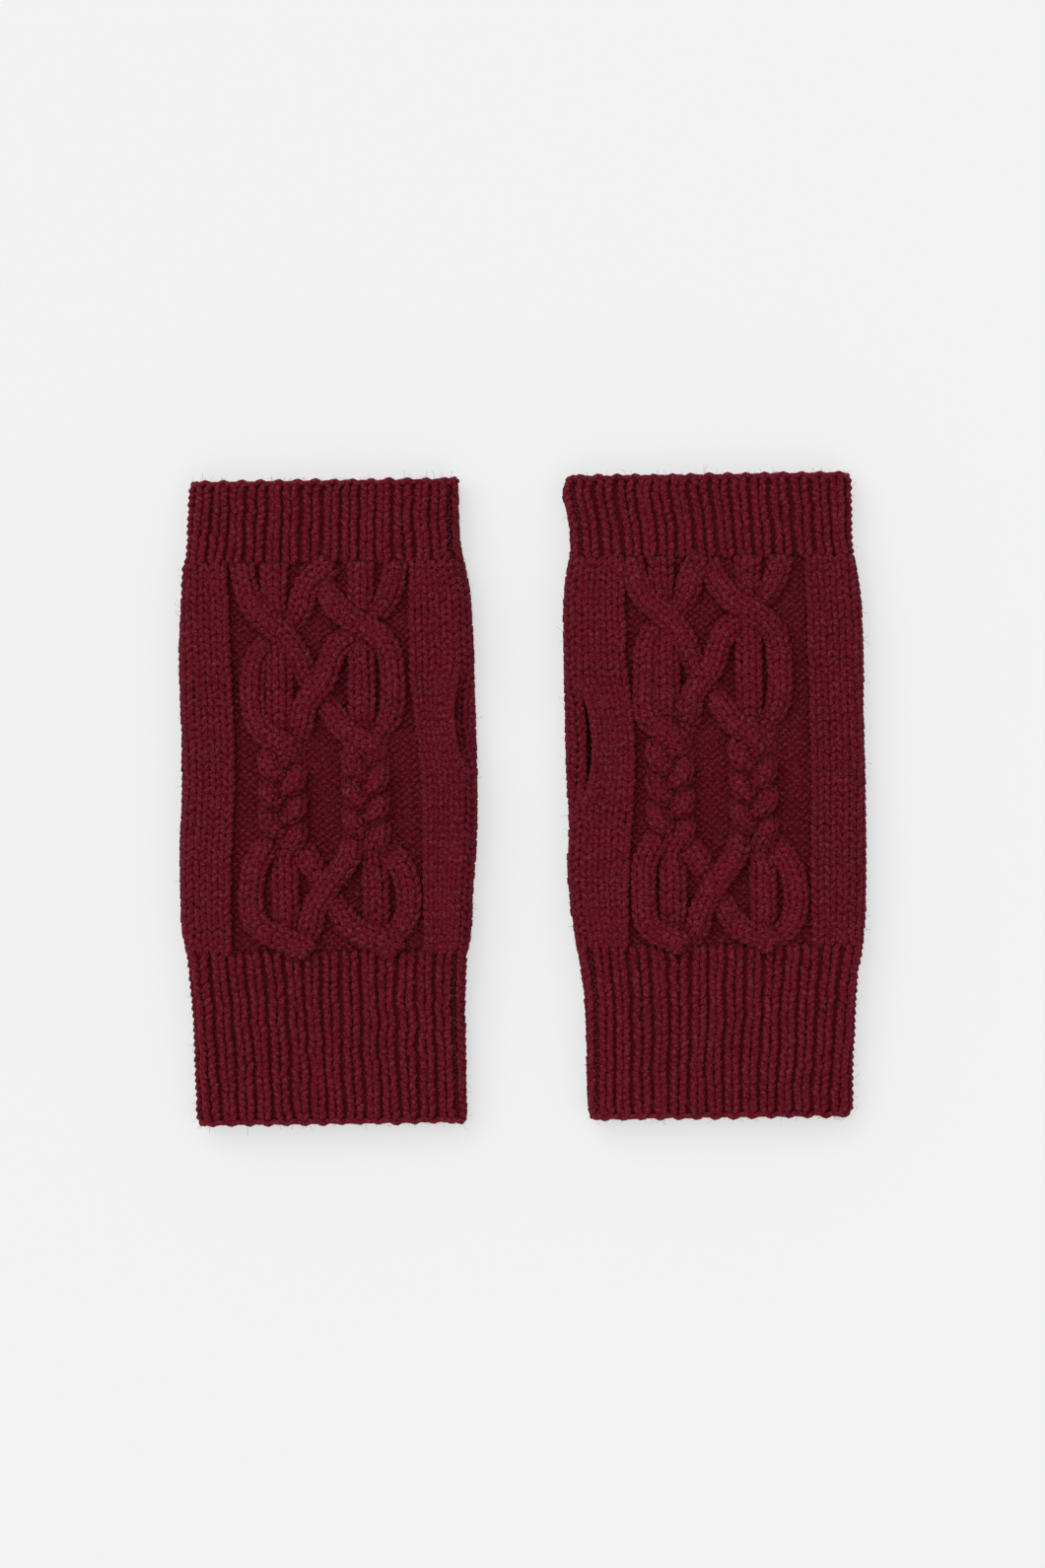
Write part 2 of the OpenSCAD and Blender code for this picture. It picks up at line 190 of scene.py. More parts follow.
twistSettings = {"alongScale": 0.22, "lobeDepth": 0.55, "fibreDepth": 0.9, "fibreRough": 0.65}
# The fleck noise varies the tone at random and, where it is high, adds pale colour as painted glints of
# fibres catching the light
dyeShadeGlintSettings = {
    "patchScale": 55.0, "fleckScale": 1200.0, "fleckRough": 0.8, "fromPaintedLight": 0.95, "fromStreak": 0.25,
    "fromPatch": 0.5, "fromFleck": 0.85, "glintFrom": 0.50, "glintFull": 0.62, "rough": 0.86, "sleek": 0.3,
}
yarnFinish = {
    "twistPitch": 5.2, "plies": 2.0, "fibreScale": 3.4, "bumpDepth": 0.00035, "bumpStrength": 0.55,
    "shine": 0.07, "sheen": 0.06, "sheenRough": 0.45, "sheenTint": (1.0, 0.30, 0.36),
}
# Each yarn's colour with painted shade for its hollows, with painted light for its crowns, and what its
# pale flecks add as painted glints
woolTones = {
    "plain": ((0.032, 0.0004, 0.0020), (0.119, 0.0018, 0.0096), (0.046, 0.0213, 0.0275)),
    "ground": ((0.027, 0.0003, 0.0016), (0.113, 0.0016, 0.0086), (0.037, 0.0178, 0.0229)),
    "cable": ((0.033, 0.0004, 0.0020), (0.125, 0.0019, 0.0100), (0.049, 0.0226, 0.0294)),
    "rib": ((0.032, 0.0004, 0.0020), (0.125, 0.0019, 0.0100), (0.046, 0.0213, 0.0275)),
    "edge": ((0.036, 0.0005, 0.0023), (0.130, 0.0022, 0.0107), (0.049, 0.0226, 0.0294)),
    "seam": ((0.024, 0.0003, 0.0015), (0.088, 0.0014, 0.0069), (0.034, 0.0156, 0.0202)),
}
feltTones = {
    "felt": {"dark": (0.045, 0.0015, 0.004), "light": (0.11, 0.005, 0.012), "scale": 700},
    "fuzz": {"dark": (0.16, 0.018, 0.03), "light": (0.30, 0.045, 0.065), "scale": 400},
}
feltFinish = {"bumpDepth": 0.0003, "bumpStrength": 0.5, "rough": 0.95, "shine": 0.08}


# Fibres twisted round the yarn: ring is the direction round the yarn, along the millimetres along it
def makePlyGroup():
    s = twistSettings
    tree, given, out = newGroup(
        "twistedPly", "ShaderNodeTree",
        [("Twist Pitch", "Float", 5.0), ("Plies", "Float", 2.0), ("Fibre Scale", "Float", 3.0)],
        [("Height", "Float"), ("Streak", "Float")])
    ring = addNode(tree, "ShaderNodeAttribute", attribute_name="ring")
    along = addNode(tree, "ShaderNodeAttribute", attribute_name="along").outputs["Fac"]
    parts = addNode(tree, "ShaderNodeSeparateXYZ", {0: ring.outputs["Vector"]})
    turn = addMath(tree, "ARCTAN2", parts.outputs[1], parts.outputs[0])
    turns = addMath(tree, "DIVIDE", along, given.outputs["Twist Pitch"])
    angle = addMath(tree, "ADD", turn, addMath(tree, "MULTIPLY", turns, 2 * pi))
    halfPlies = addMath(tree, "MULTIPLY", given.outputs["Plies"], 0.5)
    lobes = addMath(tree, "ABSOLUTE", addMath(tree, "COSINE", addMath(tree, "MULTIPLY", angle, halfPlies)))
    place = addNode(tree, "ShaderNodeCombineXYZ", {
        0: addMath(tree, "COSINE", angle), 1: addMath(tree, "SINE", angle),
        2: addMath(tree, "MULTIPLY", along, s["alongScale"])})
    fibre = addNode(tree, "ShaderNodeTexNoise", {
        "Vector": place.outputs[0], "Scale": given.outputs["Fibre Scale"], "Detail": 3.0,
        "Roughness": s["fibreRough"]})
    height = addMath(tree, "ADD", addMath(tree, "MULTIPLY", lobes, s["lobeDepth"]),
                     addMath(tree, "MULTIPLY", fibre.outputs["Fac"], s["fibreDepth"]))
    setInputs(tree, out, {"Height": height, "Streak": fibre.outputs["Fac"]})
    return tree


# Colour that shifts a little from patch to patch, as dyed wool does, with painted shade in the hollows,
# painted light on the crowns and painted glints in the pale flecks
def makeDyeShadeGlintGroup():
    s = dyeShadeGlintSettings
    tree, given, out = newGroup(
        "dyeShadeAndGlint", "ShaderNodeTree",
        [("Deep", "Color"), ("Lit", "Color"), ("Pale", "Color"), ("Streak", "Float", 0.5),
         ("Proud", "Float", 0.5)],
        [("Colour", "Color"), ("Rough", "Float")])
    place = addNode(tree, "ShaderNodeTexCoord").outputs["Object"]
    patch = addNode(tree, "ShaderNodeTexNoise", {"Vector": place, "Scale": s["patchScale"], "Detail": 2.0})
    fleck = addNode(tree, "ShaderNodeTexNoise", {
        "Vector": place, "Scale": s["fleckScale"], "Detail": 2.0, "Roughness": s["fleckRough"]})
    mix = -(s["fromPatch"] + s["fromFleck"]) / 2
    for part, share in (
            (given.outputs["Proud"], s["fromPaintedLight"]), (given.outputs["Streak"], s["fromStreak"]),
            (patch.outputs["Fac"], s["fromPatch"]), (fleck.outputs["Fac"], s["fromFleck"])):
        mix = addMath(tree, "ADD", mix, addMath(tree, "MULTIPLY", part, share))
    shade = addMath(tree, "MINIMUM", addMath(tree, "MAXIMUM", mix, 0), 1)
    ramp = addNode(tree, "ShaderNodeMix", {
        0: shade, 6: given.outputs["Deep"], 7: given.outputs["Lit"]}, data_type="RGBA")
    # Painted glints: the pale colour is added where the fleck noise is high
    glint = addNode(tree, "ShaderNodeMapRange", {
        0: fleck.outputs["Fac"], 1: s["glintFrom"], 2: s["glintFull"], 3: 0.0, 4: 1.0})
    flecked = addNode(tree, "ShaderNodeMix", {
        0: glint.outputs[0], 6: ramp.outputs[2], 7: given.outputs["Pale"]},
        data_type="RGBA", blend_type="ADD")
    sleek = addMath(tree, "MULTIPLY", given.outputs["Streak"], s["sleek"])
    setInputs(tree, out, {
        "Colour": flecked.outputs[2], "Rough": addMath(tree, "SUBTRACT", s["rough"], sleek)})
    return tree


plyGroup, dyeShadeGlintGroup = makePlyGroup(), makeDyeShadeGlintGroup()


def makeYarnMaterial(name, tone):
    s = yarnFinish
    material, tree, surface = newMaterial(name)
    ply = addNode(tree, "ShaderNodeGroup", node_tree=plyGroup)
    setInputs(tree, ply, {
        "Twist Pitch": s["twistPitch"], "Plies": s["plies"], "Fibre Scale": s["fibreScale"]})
    # Painted light on the crowns and painted shade in the hollows, read from each stitch's height
    paintedLight = addNode(tree, "ShaderNodeAttribute", attribute_name="paintedLight")
    shaded, lit, glint = [(*colour, 1) for colour in tone]
    dyeShadeGlint = addNode(tree, "ShaderNodeGroup", node_tree=dyeShadeGlintGroup)
    setInputs(tree, dyeShadeGlint, {
        "Deep": shaded, "Lit": lit, "Pale": glint, "Streak": ply.outputs["Streak"],
        "Proud": paintedLight.outputs["Fac"]})
    bump = addNode(tree, "ShaderNodeBump", {
        "Strength": s["bumpStrength"], "Distance": s["bumpDepth"], "Height": ply.outputs["Height"]})
    setInputs(tree, surface, {
        "Base Color": dyeShadeGlint.outputs["Colour"], "Roughness": dyeShadeGlint.outputs["Rough"],
        "Normal": bump.outputs[0], "Specular IOR Level": s["shine"], "Sheen Weight": s["sheen"],
        "Sheen Roughness": s["sheenRough"], "Sheen Tint": (*s["sheenTint"], 1)})
    return material


# The felted cloth behind the stitches and the loose fibres on them
def makeFeltMaterial(name, tone):
    s = feltFinish
    material, tree, surface = newMaterial(name)
    place = addNode(tree, "ShaderNodeTexCoord").outputs["Object"]
    noise = addNode(tree, "ShaderNodeTexNoise", {"Vector": place, "Scale": tone["scale"], "Detail": 3.0})
    mix = addNode(tree, "ShaderNodeMix", {
        0: noise.outputs["Fac"], 6: (*tone["dark"], 1), 7: (*tone["light"], 1)}, data_type="RGBA")
    bump = addNode(tree, "ShaderNodeBump", {
        "Strength": s["bumpStrength"], "Distance": s["bumpDepth"], "Height": noise.outputs["Fac"]})
    setInputs(tree, surface, {
        "Base Color": mix.outputs[2], "Normal": bump.outputs[0], "Roughness": s["rough"],
        "Specular IOR Level": s["shine"]})
    return material


materials = {name: makeYarnMaterial(name + "Wool", tone) for name, tone in woolTones.items()}
materials["felt"] = makeFeltMaterial("feltedBacking", feltTones["felt"])
materials["fuzz"] = makeFeltMaterial("looseFibres", feltTones["fuzz"])
print("stage: wool materials")


# The shape of a glove

gloveForm = {
    "length": 210.0, "wristRib": 56.0, "fingerRib": 27.0, "edgeBand": 1.5, "layer": 2.8,
    "roll": 4.0, "endRoll": 3.3, "rollRun": 55, "seamIn": 1.3, "proudStep": 1.3, "borderCurl": 1.1,
    "slitRise": 0.6, "lift": 0.5,
}
# The slow waves and the finer ripples in which the top layer lies
swaySettings = {
    "height": 0.30, "across": 0.071, "along": 0.046, "ripple": 0.16, "rippleAcross": 0.19,
    "rippleAlong": 0.13, "acrossStart": 0.9, "alongStart": 1.3, "topHeight": 10.8,
}
wristY = -gloveForm["length"] / 2 + gloveForm["wristRib"]
knuckleY = gloveForm["length"] / 2 - gloveForm["fingerRib"]
tipY = gloveForm["length"] / 2
# Half widths from the centre line, on the little-finger side and the thumb side: (y, half width)
outlines = {
    "left": (
        [(-105, 44.0), (-102, 45.2), (-88, 45.5), (-70, 46), (-57, 47), (-49, 47.9), (-38, 49.6),
         (-16, 49.7), (0, 48.9), (20, 48.6), (45, 49.1), (64, 48.2), (76, 47.3), (84, 45.8),
         (95, 45.4), (102, 45), (105, 43.8)],
        [(-105, 41.9), (-102.5, 42.9), (-70, 42.9), (-52, 43.7), (-42, 45.2), (-28, 46.0),
         (-14, 47.2), (2, 47.8), (25, 47.5), (50, 47.1), (64, 46.6), (74, 45.3), (84, 43.6),
         (95, 43.2), (105, 43.2)],
    ),
    "right": (
        [(-105, 42.2), (-101.5, 44), (-90, 44.1), (-75, 45), (-60, 46), (-50, 47.8), (-38, 49),
         (-5, 49.5), (25, 49.2), (45, 49.4), (62, 49), (72, 47.9), (82, 46.3), (102, 46.2),
         (105, 44.8)],
        [(-105, 40.8), (-101.5, 42.6), (-72, 42.9), (-58, 44), (-48, 45.5), (-36, 47.2),
         (-22, 48.1), (-10, 47.3), (5, 48), (45, 48.3), (62, 48.2), (72, 47.2), (80, 45.8),
         (87, 45.9), (94, 47.0), (100, 48.1), (105, 46.2)],
    ),
}
# Where the purled ground begins and ends across the back: (y, x)
groundEdges = {
    "left": ([(-49, -32.8), (-25, -32.8), (12, -30.9), (45, -31.8), (78, -32.8)],
             [(-49, 30.2), (5, 30.0), (25, 28.2), (45, 26.4), (78, 26.8)]),
    "right": ([(-49, -31.0), (-25, -31.2), (12, -31.6), (45, -31.0), (78, -30.4)],
              [(-49, 28.8), (-35, 28.8), (-18, 27.8), (13, 25.7), (28, 26.2), (45, 28.2), (78, 28.7)]),
}
# The thumb slits, from end to top: bow is how far the back edge draws in, lip how far the palm's
# edge draws out, drop how far it lies below the back's
thumbSlits = {
    "left": {"top": 43.5, "end": 10.5, "bow": 3.6, "lip": -2.6, "drop": 5.0},
    "right": {"top": 38.0, "end": -2.5, "bow": 5.3, "lip": -2.1, "drop": 2.6},
}


def ease(t):
    t = np.clip(t, 0, 1)
    return t * t * (3 - 2 * t)


def makeGlove(side):
    wrist, finger = hingeOf[side + "_wrist_cuff_fold"], hingeOf[side + "_finger_cuff_fold"]
    along = (finger - wrist) * (1, 1, 0)
    along = along / np.linalg.norm(along)
    across = np.array([along[1], -along[0], 0.0])
    origin = wrist * (1, 1, 0) - along * wristY / 1000
    return {
        "side": side, "thumb": 1 if side == "left" else -1, "along": along, "across": across,
        "origin": origin, "outline": outlines[side], "slit": thumbSlits[side],
        "seed": 11 if side == "left" else 23,
    }


# A smooth line through the points that doesn't overshoot them
def throughPoints(at, xs, ys):
    order = np.argsort(xs)
    xs, ys = np.asarray(xs, float)[order], np.asarray(ys, float)[order]
    gaps, slopes = np.diff(xs), np.diff(ys) / np.diff(xs)
    tangent = np.zeros(len(xs))
    same = slopes[1:] * slopes[:-1] > 0
    between = 2 * slopes[1:] * slopes[:-1] / np.where(same, slopes[1:] + slopes[:-1], 1)
    tangent[1:-1] = np.where(same, between, 0)
    tangent[0], tangent[-1] = slopes[0], slopes[-1]
    i = np.clip(np.searchsorted(xs, at) - 1, 0, len(gaps) - 1)
    t = np.clip((at - xs[i]) / gaps[i], 0, 1)
    start, end = ys[i], ys[i + 1]
    out, back = tangent[i] * gaps[i], tangent[i + 1] * gaps[i]
    line = ((2 * t - 3) * t * t + 1) * start + ((t - 2) * t + 1) * t * out
    return line + (3 - 2 * t) * t * t * end + (t - 1) * t * t * back


# x here and below counts towards the thumb side, on both gloves
def halfWidth(glove, which, y):
    ys, widths = zip(*glove["outline"][which])
    return throughPoints(y, ys, widths)


def groundEdge(glove, which, y):
    ys, xs = zip(*groundEdges[glove["side"]][which])
    return throughPoints(y, ys, xs)


def rollRadius(y):
    s = gloveForm
    return s["endRoll"] + (s["roll"] - s["endRoll"]) * ease((tipY - np.abs(y)) / s["rollRun"])


def rollCentres(glove, y):
    r = rollRadius(y)
    inset = r + gloveForm["layer"] / 2
    return -halfWidth(glove, 0, y) + inset, halfWidth(glove, 1, y) - inset, r


def perimeter(glove, y):
    low, high, r = rollCentres(glove, y)
    return 2 * (high - low) + 2 * pi * r


def seamPlace(glove, y):
    return rollCentres(glove, y)[1] + gloveForm["seamIn"]


# A point of the flat tube: p runs round it in millimetres from the middle of the back
# towards the thumb, and h stands out from the middle of the cloth.
def tubePoint(glove, p, y, h):
    low, high, r = rollCentres(glove, y)
    whole = perimeter(glove, y)
    p = np.mod(p + whole / 2, whole) - whole / 2
    turn = np.clip(p - high, 0, pi * r) / r - np.clip(low - p, 0, pi * r) / r
    x = np.clip(p, low, high) - np.maximum(p - high - pi * r, 0) + np.maximum(low - p - pi * r, 0)
    x = x + (r + h) * np.sin(turn)
    z = gloveForm["lift"] + r + gloveForm["layer"] / 2 + (r + h) * np.cos(turn)
    s = swaySettings
    sway = s["height"] * np.sin(s["across"] * x + s["acrossStart"])
    sway = sway * np.sin(s["along"] * y + s["alongStart"])
    sway = sway + s["ripple"] * np.sin(s["rippleAcross"] * x + s["rippleAlong"] * y)
    return x, y, z + sway * np.clip(z / s["topHeight"], 0, 1) ** 2


def toWorld(glove, x, y, z):
    x = glove["thumb"] * x
    points = x[..., None] * glove["across"] + y[..., None] * glove["along"]
    points = points + z[..., None] * np.array([0, 0, 1.0])
    return points / 1000 + glove["origin"]


def toGlove(glove, points):
    rel = (points - glove["origin"]) * 1000
    return glove["thumb"] * (rel @ glove["across"]), rel @ glove["along"], rel[:, 2]


# Yarn tubes

def endTree(tree, given, out, last):
    real = addNode(tree, "GeometryNodeRealizeInstances", {0: last.outputs[0]})
    wool = addNode(tree, "GeometryNodeSetMaterial", {
        "Geometry": real.outputs[0], "Material": given.outputs["Wool"]})
    setInputs(tree, out, {0: wool.outputs[0]})
    return tree


# Sweeps a round yarn along every line of stitches
def makeYarnTree():
    tree, given, out = newGroup(
        "yarnAlongCourses", "GeometryNodeTree",
        [("Geometry", "Geometry"), ("Sides", "Int", 6), ("Girth", "Float", 1.0), ("Wool", "Material")],
        [("Geometry", "Geometry")])
    curves = addNode(tree, "GeometryNodeMeshToCurve", {0: given.outputs["Geometry"]})
    girth = addNode(tree, "GeometryNodeInputNamedAttribute", {"Name": "girth"})
    scaled = addMath(tree, "MULTIPLY", girth.outputs[0], given.outputs["Girth"])
    circle = addNode(tree, "GeometryNodeCurvePrimitiveCircle", {
        "Resolution": given.outputs["Sides"], "Radius": 1.0})
    at = addNode(tree, "GeometryNodeInputPosition")
    ring = addNode(tree, "GeometryNodeStoreNamedAttribute", {
        "Geometry": circle.outputs[0], "Name": "ring", "Value": at.outputs[0]}, data_type="FLOAT_VECTOR")
    tube = addNode(tree, "GeometryNodeCurveToMesh", {
        "Curve": curves.outputs[0], "Profile Curve": ring.outputs[0], "Scale": scaled, "Fill Caps": True})
    smooth = addNode(tree, "GeometryNodeSetShadeSmooth", {"Geometry": tube.outputs[0]})
    return endTree(tree, given, out, smooth)


fibreShape = {
    "start": (0, 0, -0.1), "middle": (0.1, 0.0, 0.55), "end": (0.75, 0.2, 0.8), "lean": 0.8,
    "shortest": 0.45, "longest": 1.35, "leastFacing": -0.15,
}


# Short bent fibres standing out of the wool, on the faces that look up, or down where Facing is -1
def makeFuzzTree():
    s = fibreShape
    tree, given, out = newGroup(
        "looseFibresOnWool", "GeometryNodeTree",
        [("Geometry", "Geometry"), ("Density", "Float", 1e6), ("Facing", "Float", 1.0), ("Seed", "Int", 1),
         ("Length", "Float", 0.0016), ("Thickness", "Float", 0.00003), ("Wool", "Material")],
        [("Geometry", "Geometry")])
    normal = addNode(tree, "GeometryNodeInputNormal")
    parts = addNode(tree, "ShaderNodeSeparateXYZ", {0: normal.outputs[0]})
    facing = addMath(tree, "MULTIPLY", parts.outputs[2], given.outputs["Facing"])
    points = addNode(tree, "GeometryNodeDistributePointsOnFaces", {
        "Mesh": given.outputs["Geometry"], "Density": given.outputs["Density"],
        "Seed": given.outputs["Seed"],
        "Selection": addMath(tree, "GREATER_THAN", facing, s["leastFacing"])})
    arc = addNode(tree, "GeometryNodeCurveQuadraticBezier", {
        "Resolution": 2, "Start": s["start"], "Middle": s["middle"], "End": s["end"]})
    width = addMath(tree, "DIVIDE", given.outputs["Thickness"], given.outputs["Length"])
    circle = addNode(tree, "GeometryNodeCurvePrimitiveCircle", {"Resolution": 3, "Radius": 1.0})
    fibre = addNode(tree, "GeometryNodeCurveToMesh", {
        "Curve": arc.outputs[0], "Profile Curve": circle.outputs[0], "Scale": width, "Fill Caps": True})
    lean = addNode(tree, "FunctionNodeRandomValue", {
        0: (-s["lean"], -s["lean"], -pi), 1: (s["lean"], s["lean"], pi),
        "Seed": given.outputs["Seed"]}, data_type="FLOAT_VECTOR")
    twist = addNode(tree, "FunctionNodeEulerToRotation", {0: lean.outputs[0]})
    turned = addNode(tree, "FunctionNodeRotateRotation", {
        0: points.outputs["Rotation"], 1: twist.outputs[0]}, rotation_space="LOCAL")
    size = addNode(tree, "FunctionNodeRandomValue", {
        2: s["shortest"], 3: s["longest"], "Seed": given.outputs["Seed"]}, data_type="FLOAT")
    scale = addMath(tree, "MULTIPLY", size.outputs[1], given.outputs["Length"])
    placed = addNode(tree, "GeometryNodeInstanceOnPoints", {
        "Points": points.outputs[0], "Instance": fibre.outputs[0], "Rotation": turned.outputs[0],
        "Scale": scale})
    return endTree(tree, given, out, placed)


yarnTree, fuzzTree = makeYarnTree(), makeFuzzTree()
tableGap = 0.00002


def runTree(obj, tree, inputs):
    modifier = obj.modifiers.new(tree.name, "NODES")
    modifier.node_group = tree
    named = {s.name: s.identifier for s in tree.interface.items_tree if s.in_out == "INPUT"}
    for name, value in inputs.items():
        modifier[named[name]] = value
    bpy.context.view_layer.update()
    graph = bpy.context.evaluated_depsgraph_get()
    mesh = bpy.data.meshes.new_from_object(obj.evaluated_get(graph), depsgraph=graph)
    obj.modifiers.remove(modifier)
    mesh.name = obj.name
    obj.data = mesh


def readAll(items, name, width=1, kind=float):
    values = np.empty(len(items) * width, kind)
    items.foreach_get(name, values)
    return values.reshape(-1, width)


# The wool underneath is pressed flat where it meets the table
def restOnTable(mesh):
    points = readAll(mesh.vertices, "co", 3)
    points[:, 2] = np.maximum(points[:, 2], tableGap)
    mesh.vertices.foreach_set("co", points.astype(np.float32).ravel())
    mesh.update()


mapSettings = {"size": (0.49, 0.98), "corner": (0.005, 0.01), "belowShift": 0.5}


# A flat map named OFBake: the upper faces fill one half, the lower faces the other
def addExportMap(mesh):
    points = readAll(mesh.vertices, "co", 3)
    normals = readAll(mesh.polygons, "normal", 3)
    totals = readAll(mesh.polygons, "loop_total", kind=int)[:, 0]
    corner = readAll(mesh.loops, "vertex_index", kind=int)[:, 0]
    low, high = points.min(0), points.max(0)
    flat = (points[:, :2] - low[:2]) / np.maximum(high[:2] - low[:2], 1e-6)
    below = np.repeat(normals[:, 2] < 0, totals)
    uv = flat[corner] * mapSettings["size"] + mapSettings["corner"]
    uv[:, 0] += below * mapSettings["belowShift"]
    layer = mesh.uv_layers.new(name="OFBake")
    layer.data.foreach_set("uv", uv.astype(np.float32).ravel())


# How much further along each yarn's twist starts than its neighbour's, in millimetres
twistOffset = 3.7


# lines is a list of (points in metres, girth in millimetres, painted light from 0 in the hollows to 1 on
# the crowns) with a row of points to a yarn
def makeYarnPiece(name, lines, wool, sides):
    points, girth, paintedLight, along, edges, first = [], [], [], [], [], 0
    for line, thick, linePaintedLight in lines:
        flatLines = line.reshape(-1, line.shape[-2], 3)
        thick = np.broadcast_to(thick, line.shape[:-1]).reshape(flatLines.shape[:2])
        linePaintedLight = np.broadcast_to(linePaintedLight, line.shape[:-1]).reshape(flatLines.shape[:2])
        count, length = flatLines.shape[:2]
        steps = np.linalg.norm(np.diff(flatLines, axis=1), axis=2) * 1000
        run = np.concatenate([np.zeros((count, 1)), np.cumsum(steps, axis=1)], axis=1)
        index = first + np.arange(count * length).reshape(count, length)
        edges.append(np.stack([index[:, :-1], index[:, 1:]], axis=-1).reshape(-1, 2))
        points.append(flatLines.reshape(-1, 3))
        girth.append(thick.ravel() / 1000)
        paintedLight.append(linePaintedLight.ravel())
        along.append((run + np.arange(count)[:, None] * twistOffset).ravel())
        first += count * length
    mesh = bpy.data.meshes.new(name + "Lines")
    allPoints, allEdges = np.concatenate(points), np.concatenate(edges)
    mesh.vertices.add(len(allPoints))
    mesh.vertices.foreach_set("co", allPoints.astype(np.float32).ravel())
    mesh.edges.add(len(allEdges))
    mesh.edges.foreach_set("vertices", allEdges.astype(np.int32).ravel())
    for attribute, values in (("girth", girth), ("paintedLight", paintedLight), ("along", along)):
        layer = mesh.attributes.new(attribute, "FLOAT", "POINT")
        layer.data.foreach_set("value", np.concatenate(values).astype(np.float32))
    mesh.update()
    piece = newObject(name, mesh)
    runTree(piece, yarnTree, {"Sides": sides, "Girth": 1.0, "Wool": materials[wool]})
    bpy.data.meshes.remove(mesh)
    restOnTable(piece.data)
    addExportMap(piece.data)
    return piece


# Stitches

# One value for each stitch, drifting smoothly from one to the next along the yarn
def stitchDrift(rng, rows, wales, samples, amount):
    values = rng.normal(0, amount, (rows, wales + 1))
    at = np.arange(wales * samples + 1) / samples
    low = np.minimum(at.astype(int), wales - 1)
    part = at - low
    return values[:, low] * (1 - part) + values[:, low + 1] * part


# The painted light of a stitch: how much its middle height gets, and how much more its crown does, so that
# its hollows get painted shade
paintedLightSettings = {"middle": 0.5, "reach": 0.42}
# How unevenly a hand knits: each stitch strays by about this much, in the named way
unevenness = {"across": 0.035, "along": 0.13, "height": 0.09, "girth": 0.035, "paintedLight": 0.09}


# Where each piece's own random draws start
drawSeeds = {
    "palm": 1, "outerBorder": 2, "thumbBorder": 3, "ground": 4, "cables": 20, "ribBack": 40,
    "ribPalm": 41, "chain": 60, "slitPalm": 70, "slitBack": 71,
}


# Courses of loops: place(u, v, h) puts wale u, millimetre v along the work and height h on the glove
def knitCourses(glove, place, wales, rows, stitch, samples, seed, firstWale=0.0, firstRow=0.0):
    rng = np.random.default_rng(glove["seed"] * 1000 + seed)
    at = np.arange(wales * samples + 1) / samples
    t = 2 * pi * at
    row = np.arange(rows)[:, None]
    width = stitch["width"]
    spread = (width / 4 + stitch["lean"]) / 2
    u = at + (spread * np.sin(2 * t) + stitch["gather"] * np.sin(t)) / width
    v = (firstRow + row + 0.5) * stitch["rise"] - stitch["reach"] * np.cos(t)
    front = -np.cos(2 * t) * stitch["face"]
    h = stitch["depth"] * front - stitch["valley"] * np.clip(np.cos(t), 0, 1) ** 2
    stray = {way: stitchDrift(rng, rows, wales, samples, amount) for way, amount in unevenness.items()}
    u, v, h = u + stray["across"], v + stray["along"], h + stray["height"]
    girth = stitch["girth"] * (1 + stitch["swell"] * front + stray["girth"])
    # Painted light from the loop's height: more on its crown, painted shade in its hollows, with a random
    # stray for each stitch
    paintedLight = paintedLightSettings["middle"] + paintedLightSettings["reach"] * front + stray["paintedLight"]
    x, y, z = place(firstWale + u, v, h)
    return toWorld(glove, x, y, z), girth, np.clip(paintedLight, 0, 1)


# The stitches in millimetres; face is 1 where the smooth side shows and -1 where the purl side does
flatStitch = {"gather": 0.0, "valley": 0.0, "face": 1}
stitches = {
    "plain": {**flatStitch, "width": 4.05, "rise": 2.59, "reach": 2.0, "lean": 1.05, "depth": 0.92,
              "girth": 0.96, "swell": 0.17},
    "ground": {**flatStitch, "width": 3.3, "rise": 2.4, "reach": 1.95, "lean": 0.65, "depth": 0.72,
               "girth": 0.83, "swell": 0.12, "face": -1},
    "rib": {**flatStitch, "width": 5.98, "rise": 2.35, "reach": 1.88, "lean": 0.72, "depth": 0.76,
            "girth": 1.0, "swell": 0.16, "gather": 0.30, "valley": 1.0},
    "cable": {**flatStitch, "width": 4.2, "rise": 2.55, "reach": 2.0, "lean": 1.0, "depth": 0.86,
              "girth": 0.98, "swell": 0.16},
    "chain": {**flatStitch, "width": 3.4, "rise": 3.0, "reach": 2.4, "lean": 0.7, "depth": 0.35,
              "girth": 0.8, "swell": 0.12},
}


slitFullness = 0.65


# From 0 at the ends of the thumb slit to 1 in its middle
def slitShape(glove, y):
    s = glove["slit"]
    part = np.clip((y - s["end"]) / (s["top"] - s["end"]), 0, 1)
    return np.sin(pi * part) ** slitFullness


liftSettings = {"slitEnds": 9, "sides": 17, "cuffs": 34, "pastThumb": 1.5, "slitShare": 0.5}


# How far a point of the back layer goes with the opening hand: none at the sides and the cuffs
def liftShare(glove, x, y):
    s, slit = liftSettings, glove["slit"]
    low, high = rollCentres(glove, y)[:2]
    free = ease((y - slit["end"]) / s["slitEnds"]) * ease((slit["top"] - y) / s["slitEnds"])
    outer = ease((x - low) / s["sides"])
    thumb = np.maximum(ease((high + s["pastThumb"] - x) / s["sides"]), s["slitShare"] * free)
    return outer * thumb * ease((y - wristY) / s["cuffs"]) * ease((knuckleY - y) / s["cuffs"])


def blendBack(glove, piece):
    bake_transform(piece)
    x, y, z = toGlove(glove, readAll(piece.data.vertices, "co", 3))
    share = liftShare(glove, x, y)


def blendCuff(piece):
    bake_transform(piece)


